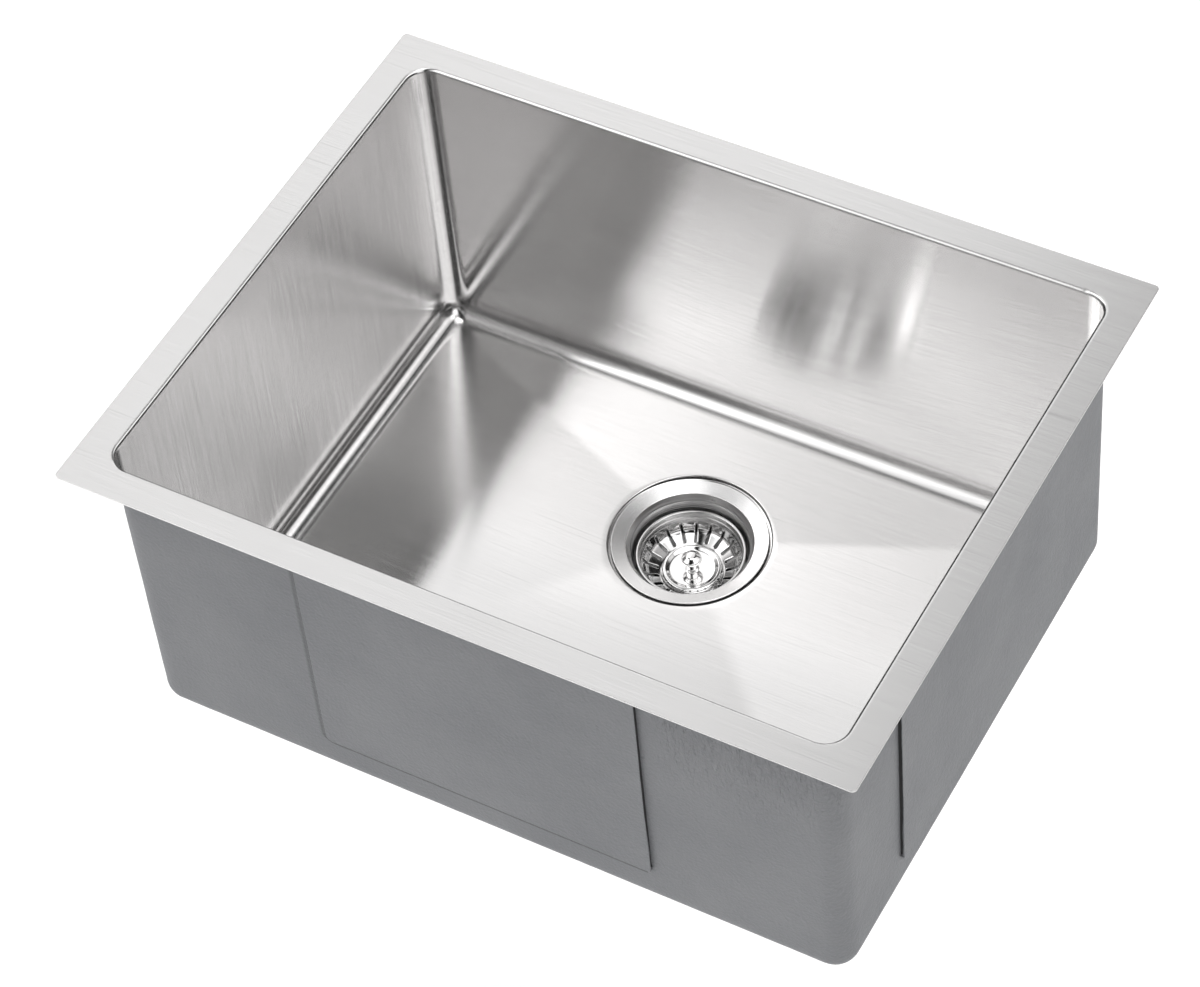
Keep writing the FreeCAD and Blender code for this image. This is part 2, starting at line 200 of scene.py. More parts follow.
def arc_profile(pts, arc_step=6.0, closed=True, support=0.22):
    """Corner points (r, z, fillet) to a finely divided outline."""
    n = len(pts)
    P = [np.array([p[0], p[1]], float) for p in pts]
    F = [p[2] if len(p) > 2 else 0.0 for p in pts]
    parts = []
    for i in range(n):
        p, a, b = P[i], P[i - 1], P[(i + 1) % n]
        if F[i] <= 0 or (not closed and i in (0, n - 1)):
            parts.append([p])
            continue
        u = (a - p) / np.linalg.norm(a - p)
        w = (b - p) / np.linalg.norm(b - p)
        half = 0.5 * math.acos(max(-1.0, min(1.0, float(u @ w))))
        t, d = F[i] / math.tan(half), F[i] / math.sin(half)
        bis = (u + w) / np.linalg.norm(u + w)
        cen = p + bis * d
        s, e = p + u * t, p + w * t
        a0 = math.atan2(*(s - cen)[::-1])
        a1 = math.atan2(*(e - cen)[::-1])
        da = (a1 - a0 + math.pi) % (2 * math.pi) - math.pi
        k = max(3, int(math.ceil(abs(math.degrees(da)) / arc_step)))
        parts.append([cen + F[i] * np.array([math.cos(a0 + da * q / k), math.sin(a0 + da * q / k)]) for q in range(k + 1)])
    out = []
    m = n if closed else n - 1
    for i in range(n):
        out += parts[i]
        if i < m:
            s, e = parts[i][-1], parts[(i + 1) % n][0]
            ln = np.linalg.norm(e - s)
            if support and ln > 3.2 * support:
                d = (e - s) / ln
                if len(parts[i]) > 1:
                    out.append(s + d * support)
                if len(parts[(i + 1) % n]) > 1:
                    out.append(e - d * support)
    keep = [out[0]]
    for q in out[1:]:
        if np.linalg.norm(q - keep[-1]) > 1e-5:
            keep.append(q)
    if closed and np.linalg.norm(keep[0] - keep[-1]) < 1e-5:
        keep.pop()
    return np.array(keep)


def lathe_data(prof, seg=160, closed=True, shape=None):
    """Turns an outline round the drain axis. shape(r, z, angle) may move it."""
    ang = np.arange(seg) / seg * 2 * math.pi
    verts, rows = [], []
    cnt = 0
    for r, z in prof:
        if r < 1e-6:
            verts.append(np.array([[CX, CY, z]]))
            rows.append((cnt, 1))
            cnt += 1
            continue
        rr, zz = np.full(seg, r), np.full(seg, z)
        if shape is not None:
            rr, zz = shape(rr, zz, ang)
        verts.append(np.stack([CX + rr * np.cos(ang), CY + rr * np.sin(ang), zz], 1))
        rows.append((cnt, seg))
        cnt += seg
    faces = []
    j = np.arange(seg)
    j1 = (j + 1) % seg
    m = len(rows)
    for i in range(m if closed else m - 1):
        (a, na), (b, nb) = rows[i], rows[(i + 1) % m]
        if na == 1 and nb == 1:
            continue
        if na == 1:
            faces += [(a, b + int(q1), b + int(q)) for q, q1 in zip(j, j1)]
        elif nb == 1:
            faces += [(a + int(q), a + int(q1), b) for q, q1 in zip(j, j1)]
        else:
            faces += np.stack([a + j, a + j1, b + j1, b + j], 1).tolist()
    return np.concatenate(verts), faces


def fix_normals(ob):
    bm = bmesh.new()
    bm.from_mesh(ob.data)
    bmesh.ops.recalc_face_normals(bm, faces=bm.faces)
    bm.to_mesh(ob.data)
    bm.free()


def lathe(name, pts, body, mat, seg=160, sharp=32, arc_step=6.0, shape=None, prof=None, slot=None, support=0.22):
    if prof is None:
        prof = arc_profile(pts, arc_step, support=support)
    v, f = lathe_data(prof, seg, shape=shape)
    ob = make_mesh(name, v, f, body, [mat], sharp=None)
    fix_normals(ob)
    ob.data.set_sharp_from_angle(angle=math.radians(sharp))
    return ob


# ------------------------------------------------------------------ materials
class Mat:
    def __init__(self, name):
        self.m = bpy.data.materials.new(name)
        self.m.use_nodes = True
        self.t = self.m.node_tree
        self.b = self.t.nodes["Principled BSDF"]
        self.x = -300

    def node(self, kind, **kw):
        n = self.t.nodes.new(kind)
        self.x -= 60
        n.location = (self.x, -self.x * 0.4 % 500)
        for k, v in kw.items():
            if hasattr(n, k):
                setattr(n, k, v)
            else:
                n.inputs[k].default_value = v
        return n

    def link(self, a, b):
        self.t.links.new(a, b)

    def set(self, **kw):
        for k, v in kw.items():
            self.b.inputs[k.replace("_", " ")].default_value = v

    def coords(self, kind, scale, uv=None, offset=(0, 0, 0)):
        if uv:
            c = self.node("ShaderNodeUVMap", uv_map=uv).outputs[0]
        else:
            c = self.node("ShaderNodeTexCoord").outputs[kind]
        m = self.node("ShaderNodeMapping")
        m.inputs["Scale"].default_value = scale
        m.inputs["Location"].default_value = offset
        self.link(c, m.inputs["Vector"])
        return m.outputs[0]

    def noise(self, vec, detail=3.0, rough=0.55, scale=1.0, distort=0.0):
        n = self.node("ShaderNodeTexNoise")
        n.inputs["Scale"].default_value = scale
        n.inputs["Detail"].default_value = detail
        n.inputs["Roughness"].default_value = rough
        n.inputs["Distortion"].default_value = distort
        self.link(vec, n.inputs["Vector"])
        return n.outputs["Fac"]

    def remap(self, val, a, b, c, d, clamp=True):
        n = self.node("ShaderNodeMapRange", clamp=clamp)
        for i, q in zip(("From Min", "From Max", "To Min", "To Max"), (a, b, c, d)):
            n.inputs[i].default_value = q
        self.link(val, n.inputs["Value"])
        return n.outputs["Result"]

    def math(self, op, a, b):
        n = self.node("ShaderNodeMath", operation=op)
        for i, q in enumerate((a, b)):
            if isinstance(q, (int, float)):
                n.inputs[i].default_value = q
            else:
                self.link(q, n.inputs[i])
        return n.outputs[0]

    def mixcol(self, fac, c0, c1):
        n = self.node("ShaderNodeMix", data_type="RGBA")
        self.link(fac, n.inputs["Factor"])
        for key, c in (("A", c0), ("B", c1)):
            s = [q for q in n.inputs if q.name == key and q.type == "RGBA"][0]
            if isinstance(c, tuple):
                s.default_value = (c[0], c[1], c[2], 1)
            else:
                self.link(c, s)
        return [q for q in n.outputs if q.type == "RGBA"][0]

    def bump(self, height, strength, distance, prev=None):
        n = self.node("ShaderNodeBump")
        n.inputs["Strength"].default_value = strength
        n.inputs["Distance"].default_value = distance
        self.link(height, n.inputs["Height"])
        if prev is not None:
            self.link(prev, n.inputs["Normal"])
        return n.outputs[0]


def steel(name, tone=1.0, rough=0.165, aniso=1.0, hair=0.07, cloud=0.015, seam=False, streak=1.0):
    """Brushed stainless. The grain runs along U of the grain map."""
    q = Mat(name)
    q.set(Metallic=1.0, Anisotropic=aniso, Anisotropic_Rotation=0.25)
    fine = q.noise(q.coords("UV", (20, 1500, 1), uv="grain"), 3, 0.65)
    lines = q.noise(q.coords("UV", (5, 420, 1), uv="grain", offset=(3.1, 7.7, 0)), 3, 0.6)
    hairs = q.noise(q.coords("UV", (16, 820, 1), uv="grain", offset=(6.4, 1.3, 0)), 2, 0.6)
    patch = q.noise(q.coords("Object", (9, 9, 9)), 3, 0.5)
    scr = q.noise(q.coords("UV", (9, 900, 1), uv="grain", offset=(11.3, 2.9, 0)), 2, 0.4)
    mark = q.remap(scr, 0.66, 0.72, 0.0, 1.0)
    tint = q.math("ADD", q.math("MULTIPLY", hairs, 0.55), q.math("MULTIPLY", lines, 0.45))
    tint = q.remap(tint, 0.34, 0.66, 0.0, 1.0)
    lo, hi = (0.7425 - 0.0425 * streak) * tone, (0.7425 + 0.0425 * streak) * tone
    col = q.mixcol(tint, (lo, lo * 0.990, lo * 0.986), (hi, hi * 0.991, hi * 0.988))
    col = q.mixcol(q.math("MULTIPLY", mark, 0.35), col, (0.54 * tone, 0.534 * tone, 0.532 * tone))
    if seam:
        # faint ground weld across the right side of the flange
        sep = q.node("ShaderNodeSeparateXYZ")
        q.link(q.node("ShaderNodeTexCoord").outputs["Object"], sep.inputs[0])
        off = q.math("ADD", q.math("MULTIPLY", sep.outputs[0], -0.058), -0.0809)
        off = q.math("ABSOLUTE", q.math("ADD", sep.outputs[1], off), 0.0)
        band = q.math("MULTIPLY", q.remap(off, 0.0003, 0.0026, 1.0, 0.0), q.remap(patch, 0.42, 0.56, 0.35, 1.0))
        band = q.math("MULTIPLY", band, q.math("MULTIPLY", q.remap(sep.outputs[0], 0.268, 0.272, 0.0, 1.0), q.remap(sep.outputs[0], 0.294, 0.286, 0.25, 1.0)))
        col = q.mixcol(q.math("MULTIPLY", band, 0.34), col, (0.42, 0.415, 0.41))
    q.link(col, q.b.inputs["Base Color"])
    r = q.math("ADD", q.remap(lines, 0.3, 0.7, rough - 0.012, rough + 0.012), q.remap(patch, 0.3, 0.7, -cloud * 0.5, cloud * 0.5))
    q.link(r, q.b.inputs["Roughness"])
    nrm = q.bump(fine, hair, 0.00006)
    nrm = q.bump(lines, 0.06 * streak, 0.0002, nrm)
    q.link(nrm, q.b.inputs["Normal"])
    tan = q.node("ShaderNodeTangent", direction_type="UV_MAP", uv_map="grain")
    q.link(tan.outputs[0], q.b.inputs["Tangent"])
    return q.m


def polished(name, tone=0.80, rough=0.12, rings=0.25, wear=0.04, aniso=0.35):
    """Turned or pressed and polished stainless, with faint rings round the axis."""
    q = Mat(name)
    q.set(Metallic=1.0, Anisotropic=aniso)
    vec = q.coords("Object", (1, 1, 1), offset=(-CX * MM, -CY * MM, 0))
    sep = q.node("ShaderNodeSeparateXYZ")
    q.link(vec, sep.inputs[0])
    rad = q.math("SQRT", q.math("ADD", q.math("MULTIPLY", sep.outputs[0], sep.outputs[0]), q.math("MULTIPLY", sep.outputs[1], sep.outputs[1])), 0.0)
    comb = q.node("ShaderNodeCombineXYZ")
    q.link(q.math("MULTIPLY", rad, 2400.0), comb.inputs[0])
    q.link(q.math("MULTIPLY", sep.outputs[2], 2400.0), comb.inputs[1])
    ring = q.noise(comb.outputs[0], 3, 0.6)
    spot = q.noise(q.coords("Object", (60, 60, 60)), 4, 0.6)
    tint = q.remap(spot, 0.3, 0.7, 0.0, 1.0)
    col = q.mixcol(tint, (tone * 0.95, tone * 0.945, tone * 0.943), (tone, tone * 0.994, tone * 0.992))
    q.link(col, q.b.inputs["Base Color"])
    q.link(q.math("ADD", q.remap(spot, 0.3, 0.7, rough - wear * 0.5, rough + wear * 0.5), q.remap(ring, 0.3, 0.7, -0.015, 0.015)), q.b.inputs["Roughness"])
    q.link(q.bump(ring, rings, 0.00004), q.b.inputs["Normal"])
    tan = q.node("ShaderNodeTangent", direction_type="RADIAL", axis="Z")
    q.link(tan.outputs[0], q.b.inputs["Tangent"])
    return q.m


def plain(name, c0, c1, rough=0.5, metallic=0.0, scale=400, bump=0.2, dist=0.0002, patch=20, spec=0.5, rvar=0.08, detail=4):
    q = Mat(name)
    q.set(Metallic=metallic)
    q.b.inputs["Specular IOR Level"].default_value = spec
    fine = q.noise(q.coords("Object", (scale, scale, scale)), detail, 0.6)
    big = q.noise(q.coords("Object", (patch, patch, patch), offset=(1.7, 4.1, 2.2)), 4, 0.55)
    mix = q.math("ADD", q.math("MULTIPLY", fine, 0.4), q.math("MULTIPLY", big, 0.6))
    q.link(q.mixcol(q.remap(mix, 0.36, 0.64, 0.0, 1.0), c0, c1), q.b.inputs["Base Color"])
    q.link(q.remap(fine, 0.3, 0.7, rough - rvar * 0.5, rough + rvar * 0.5), q.b.inputs["Roughness"])
    q.link(q.bump(fine, bump, dist), q.b.inputs["Normal"])
    return q.m


def coat_material(name):
    """Sprayed grey coat: orange peel, fine specks, slightly uneven tone, and painted shade at the pads' feet."""
    q = Mat(name)
    q.b.inputs["Specular IOR Level"].default_value = 0.45
    peel = q.noise(q.coords("Object", (380, 380, 380)), 3, 0.55)
    grit = q.noise(q.coords("Object", (1500, 1500, 1500), offset=(2, 5, 1)), 2, 0.6)
    big = q.noise(q.coords("Object", (11, 11, 11), offset=(7, 1, 3)), 3, 0.5)
    mid = q.noise(q.coords("Object", (70, 70, 70), offset=(1, 9, 3)), 3, 0.55)
    t = q.math("ADD", q.math("MULTIPLY", big, 0.6), q.math("ADD", q.math("MULTIPLY", mid, 0.25), q.math("MULTIPLY", grit, 0.15)))
    col = q.mixcol(q.remap(t, 0.38, 0.62, 0.0, 1.0), (0.186, 0.191, 0.202), (0.226, 0.230, 0.240))
    # painted shade: the colour is darkened towards near black where the 'foot' attribute is high, in the corner at each
    # pad's foot
    foot = q.node("ShaderNodeAttribute", attribute_name="foot")
    col = q.mixcol(foot.outputs["Fac"], col, (0.085, 0.087, 0.092))
    q.link(col, q.b.inputs["Base Color"])
    q.link(q.remap(mid, 0.3, 0.7, 0.50, 0.60), q.b.inputs["Roughness"])
    # short upright wrinkles below the flange, right of the front pad
    sep = q.node("ShaderNodeSeparateXYZ")
    q.link(q.node("ShaderNodeTexCoord").outputs["Object"], sep.inputs[0])
    wr = q.noise(q.coords("Object", (460, 460, 120), offset=(4, 4, 2)), 2, 0.5, distort=0.9)
    area = q.math("MULTIPLY", q.remap(sep.outputs[0], 0.130, 0.150, 0.0, 1.0), q.remap(sep.outputs[2], -0.120, -0.045, 0.0, 1.0))
    area = q.math("MULTIPLY", area, q.remap(sep.outputs[1], -0.190, -0.200, 0.0, 1.0))
    area = q.math("ADD", area, 0.12)
    n = q.bump(peel, 0.9, 0.0012)
    n = q.bump(q.math("MULTIPLY", wr, area), 0.9, 0.0026, n)
    n = q.bump(grit, 0.3, 0.00016, n)
    q.link(n, q.b.inputs["Normal"])
    return q.m


M_STEEL = steel("brushed_steel", streak=1.05, hair=0.10)
M_FLOOR = steel("brushed_floor", rough=0.145, streak=0.55)
M_FLANGE = steel("brushed_flange", tone=0.97, rough=0.22, aniso=1.0, hair=0.12, cloud=0.02, seam=True, streak=0.7)
M_BACK = steel("plain_sheet_back", tone=0.80, rough=0.45, aniso=0.5, hair=0.15)
M_POL = polished("polished_steel", 0.88, 0.07, rings=0.12, wear=0.02)
M_SATIN = polished("satin_steel", 0.78, 0.24, rings=0.4, wear=0.05)
M_RING = polished("turned_ring_steel", 1.0, 0.25, rings=0.12, wear=0.02, aniso=0.5)
M_CUP = polished("brushed_cup_steel", 0.66, 0.30, rings=0.45, wear=0.05, aniso=0.8)
M_COAT = coat_material("grey_spray_coat")
M_PADRUB = plain("black_pad_rubber", (0.012, 0.012, 0.012), (0.03, 0.03, 0.031), rough=0.72, scale=900, bump=0.4, dist=0.0003)
M_SEAL = plain("seal_rubber_black", (0.016, 0.016, 0.017), (0.034, 0.034, 0.036), rough=0.55, scale=500, bump=0.12)
M_STOP = plain("stopper_rubber_dark", (0.009, 0.009, 0.009), (0.018, 0.018, 0.019), rough=0.62, scale=350, bump=0.10, spec=0.3)
M_FIBRE = plain("fibre_board", (0.30, 0.215, 0.13), (0.44, 0.33, 0.21), rough=0.85, scale=700, bump=0.5, dist=0.0003, patch=90, spec=0.3)
M_ZINC = plain("zinc_cast", (0.47, 0.475, 0.48), (0.62, 0.625, 0.63), rough=0.42, metallic=1.0, scale=260, bump=0.25, dist=0.0003, patch=45, rvar=0.16)
M_NYLON = plain("nylon_white", (0.74, 0.73, 0.69), (0.82, 0.81, 0.78), rough=0.42, scale=300, bump=0.06, spec=0.5)
M_CHROME = plain("chrome_plate", (0.50, 0.51, 0.52), (0.57, 0.58, 0.59), rough=0.09, metallic=1.0, scale=90, bump=0.015, dist=0.0002, rvar=0.03, detail=2)


# ------------------------------------------------------------------ the floor's fall
def smin(a, b, k):
    h = np.clip(k - np.abs(a - b), 0, None) / k
    return np.minimum(a, b) - h * h * k * 0.25


def floor_z(x, y, k=0.03):
    """Floor of the bowl: four shallow faces that meet in creases at the drain."""
    f = (y + BY) / (CY + BY)
    b = (BY - y) / (BY - CY)
    l = (x + BX) / (CX + BX)
    r = (BX - x) / (BX - CX)
    s = smin(smin(f, b, k), smin(l, r, k), k)
    s = smin(s, np.full_like(s, 2.0), 0.01)
    # a small radius where the faces meet the flat strip
    w = 0.012
    s = np.where(s < w, (s + w) ** 2 / (4 * w), s)
    return -DEPTH - DROP * np.clip(s, 0, None)


def floor_rays(rim, radius, rows, power=1.0):
    """Rings from a loop on the floor's rim to a circle round the drain."""
    c = np.array([CX, CY])
    d = rim[:, :2] - c
    ln = np.linalg.norm(d, axis=1)
    end = c + d / ln[:, None] * radius
    out = []
    for i in range(1, rows + 1):
        t = (i / rows) ** power
        p = rim[:, :2] * (1 - t) + end * t
        out.append(np.c_[p, floor_z(p[:, 0], p[:, 1])])
    return out


def circle_like(ring, radius, z):
    c = np.array([CX, CY])
    d = ring[:, :2] - c
    p = c + d / np.linalg.norm(d, axis=1)[:, None] * radius
    return np.c_[p, z if np.ndim(z) else np.full(len(ring), float(z))]


# ------------------------------------------------------------------ bowl
def wall_wave(p, side_out, side):
    """Slight waviness of the pressed walls, in mm along the outward normal."""
    zf = step(p[:, 2], -238.0, -190.0) * (1 - step(p[:, 2], -40.0, -6.0))
    ax = np.abs(side_out[:, 0])
    along = np.where(ax > 0.5, p[:, 1], p[:, 0])
    half = np.where(ax > 0.5, HY - WALL_R, HX - WALL_R)
    ef = step(half - np.abs(along), 0.0, 45.0)
    n = vnoise(np.c_[p[:, 0], p[:, 1], p[:, 2] * 0.8], 95.0, 5) * 0.16
    n += vnoise(p, 46.0, 9) * 0.035
    return n * zf * ef


def build_bowl():
    L = Loops(graded(HX - WALL_R, 1.1, 4.6, 1.16), graded(HY - WALL_R, 1.1, 4.6, 1.16), 14)
    out = L.outward()
    rings, tag = [], []

    def add(r, t):
        rings.append(r)
        tag.append(t)

    # flange, upper face
    for dx, z in ((0.0, -0.55), (0.0, -0.22), (0.07, -0.08), (0.25, 0.0), (0.55, 0.0)):
        add(L.ring(FLANGE_X - dx, FLANGE_Y - dx, FLANGE_R - dx, z), "top")
    for k in (0.2, 0.4, 0.6, 0.8, 0.9, 0.97):
        r = FLANGE_R * (1 - k) + (WALL_R + BEND_R) * k
        add(L.ring(FLANGE_X * (1 - k) + (HX + BEND_R) * k, FLANGE_Y * (1 - k) + (HY + BEND_R) * k, r, 0.0), "top")
    # bend
    for i in range(0, 11):
        a = math.radians(9.0 * i)
        g = BEND_R * (1 - math.sin(a))
        p = L.ring(HX + g, HY + g, WALL_R + g, -BEND_R * (1 - math.cos(a)))
        # small nick where the corner weld starts
        dent = 0.28 * np.exp(-(((p[:, 0] - 249.0) / 1.3) ** 2)) * (p[:, 1] > 0) * math.sin(2 * a)
        p[:, 1] += dent * 0.7
        p[:, 2] -= dent * 0.7
        add(p, "bend")
    # walls
    zs = np.concatenate([[-3.2, -4.2, -6.0], np.linspace(-9.0, -231.0, 46), [-235.0, -238.0, -239.5]])
    for z in zs:
        p = L.ring(HX, HY, WALL_R, z)
        p[:, :2] += out[:, :2] * wall_wave(p, out, L.side)[:, None]
        add(p, "wall")
    # cove
    for i in range(0, 19):
        a = math.radians(5.0 * i)
        g = COVE_R * (1 - math.cos(a))
        add(L.ring(HX - g, HY - g, max(WALL_R - g, 1.0), -240.0 - COVE_R * math.sin(a)), "cove")
    # flat strip, then the creased floor
    add(L.ring(HX - COVE_R - 0.4, HY - COVE_R - 0.4, 0.9, -DEPTH), "floor")
    add(L.ring(BX + 1.4, BY + 1.4, 0.6, -DEPTH), "floor")
    rim = L.ring(BX, BY, 0.35, -DEPTH)
    rim[:, 2] = floor_z(rim[:, 0], rim[:, 1])
    add(rim, "floor")
    edge = 0.9
    for r in floor_rays(rim, RECESS_R + edge, 52):
        bulge = vnoise(np.c_[r[:, 0], r[:, 1], np.zeros(len(r))], 120.0, 3) * 0.06
        fade = step(BX - np.abs(r[:, 0]), 0, 30) * step(BY - np.abs(r[:, 1]), 0, 30)
        fade = fade * step(np.hypot(r[:, 0] - CX, r[:, 1] - CY), 62.0, 80.0)
        r[:, 2] += bulge * fade
        add(r, "floor")
    lip = rings[-1][:, 2].copy()
    for i in range(1, 7):
        a = math.radians(15.0 * i)
        add(circle_like(rim, RECESS_R + edge * (1 - math.sin(a)), lip - edge * (1 - math.cos(a))), "recess")
    zb = z_seat(RECESS_R)
    add(circle_like(rim, RECESS_R, (lip - edge) * 0.5 + 0.5 * (zb + 0.55)), "recess")
    ang = math.atan(STR_SLOPE)
    rr = 0.6
    # fillet from the wall to the seat
    cen_r, half = RECESS_R - rr, (math.pi / 2 - ang)
    cz = zb + rr / math.cos(ang) - rr * math.tan(ang) * 1.0
    for i in range(0, 6):
        a = half * i / 5
        add(circle_like(rim, cen_r + rr * math.cos(a), cz - rr * math.sin(a)), "recess")
    for r in (57.5, 55.0, 50.0, 46.0, HOLE_R + 0.2):
        add(circle_like(rim, r, z_seat(r)), "recess")
    add(circle_like(rim, HOLE_R, z_seat(HOLE_R) - 0.2), "under")
    add(circle_like(rim, HOLE_R, z_seat_low(HOLE_R) + 0.2), "under")
    # underside
    ro = RECESS_R + T
    for r in (HOLE_R + 0.2, 48.0, 52.0, 56.0, 58.3):
        add(circle_like(rim, r, z_seat_low(r)), "under")
    f2 = 2.0
    c2r, c2z = ro - f2, z_seat_low(ro) + f2 / math.cos(ang) - f2 * math.tan(ang)
    for i in range(0, 7):
        a = (math.pi / 2 - ang) * (1 - i / 6)
        add(circle_like(rim, c2r + f2 * math.cos(a), np.minimum(c2z - f2 * math.sin(a), lip - T - 0.05)), "under")
    u = []
    for r in floor_rays(rim, ro, 26):
        r = r.copy()
        r[:, 2] -= T
        u.append(r)
    for r in u[::-1]:
        add(r, "under")
    g0 = L.ring(BX, BY, 0.35, -DEPTH - T)
    g0[:, 2] = np.minimum(floor_z(g0[:, 0], g0[:, 1]) - T, -DEPTH - T)
    add(g0, "under")
    for i in range(18, -1, -2):
        a = math.radians(5.0 * i)
        g = (COVE_R + T) * (1 - math.cos(a))
        add(L.ring(HX + T - g, HY + T - g, max(WALL_R + T - g, 1.0), -240.0 - (COVE_R + T) * math.sin(a)), "under")
    for z in (-200.0, -150.0, -100.0, -50.0, -12.0, -4.0):
        add(L.ring(HX + T, HY + T, WALL_R + T, z), "under")
    b2 = BEND_R - T
    for i in range(0, 7):
        a = math.radians(15.0 * (6 - i))
        g = T + b2 * (1 - math.sin(a))
        add(L.ring(HX + g, HY + g, WALL_R + g, -T - b2 * (1 - math.cos(a))), "under")
    for k in (0.03, 0.3, 0.6, 0.9):
        k = 1 - k
        r = FLANGE_R * (1 - k) + (WALL_R + BEND_R) * k
        add(L.ring(FLANGE_X * (1 - k) + (HX + BEND_R) * k, FLANGE_Y * (1 - k) + (HY + BEND_R) * k, r, -T), "under")
    for dx, z in ((0.45, -T), (0.2, -T), (0.06, -T + 0.07), (0.0, -T + 0.22)):
        add(L.ring(FLANGE_X - dx, FLANGE_Y - dx, FLANGE_R - dx, z), "top")
    v, f = loft(rings, closed=True)
    n, m = L.n, len(rings)

    # grain map: U along the grain. The sheet's grain runs along X, and up the
    # left and right walls.
    P = v.reshape(m, n, 3)
    arc = np.zeros((m, n))
    for i in range(1, m):
        arc[i] = arc[i - 1] + np.linalg.norm(P[i] - P[i - 1], axis=1)
    side_r = np.isin(L.side, ("l", "r")) | ((L.side == "c") & (np.abs(out[:, 0]) > np.abs(out[:, 1])))
    uvs = np.zeros((len(f), 4, 2))
    mat = np.zeros(len(f), np.int32)
    k = 0
    j = np.arange(n)
    j1 = (j + 1) % n
    for i in range(m):
        i1 = (i + 1) % m
        ta = tag[i]
        quad = [(i, j), (i, j1), (i1, j1), (i1, j)]
        use_r = side_r & side_r[j1] if True else None
        for c, (ii, jj) in enumerate(quad):
            x, y, z = P[ii, jj, 0], P[ii, jj, 1], P[ii, jj, 2]
            s = arc[ii, jj] if not (i1 == 0 and ii == 0) else arc[m - 1, jj] + 0.4
            if ta in ("floor", "recess", "top") or (ta == "under"):
                uu, vv = x, y
                if ta == "under":
                    vert = np.abs(z + 130) < 108
                    uu = np.where(use_r & vert, z, x)
                    vv = np.where(vert & ~use_r, z, y)
            else:
                uu = np.where(use_r, s, x)
                vv = np.where(use_r, y, s)
            uvs[k:k + n, c, 0] = uu * MM
            uvs[k:k + n, c, 1] = vv * MM
        mat[k:k + n] = {"top": 1, "bend": 1, "under": 2, "floor": 3, "recess": 3}.get(ta, 0)
        k += n
    ob = make_mesh("bowl_sheet", v, f, "sink", [M_STEEL, M_FLANGE, M_BACK, M_FLOOR], mat, uvs.reshape(-1, 2), sharp=None)
    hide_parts("sink_bowl")
    return ob


# ------------------------------------------------------------------ coat
def coat_relief(p):
    """Uneven thickness of the sprayed coat, mm."""
    a = vnoise(p, 7.5, 21) * 0.055
    b = vnoise(p, (5.0, 5.0, 9.0), 22) * 0.035
    c = vnoise(p, 42.0, 23) * 0.06
    rag = np.clip(vnoise(p, 60.0, 29) * 0.9 + 0.25, 0, 1)
    d = vnoise(p, (4.2, 4.2, 8.0), 24) * 0.07 * rag
    return a + b + c + d - 0.16


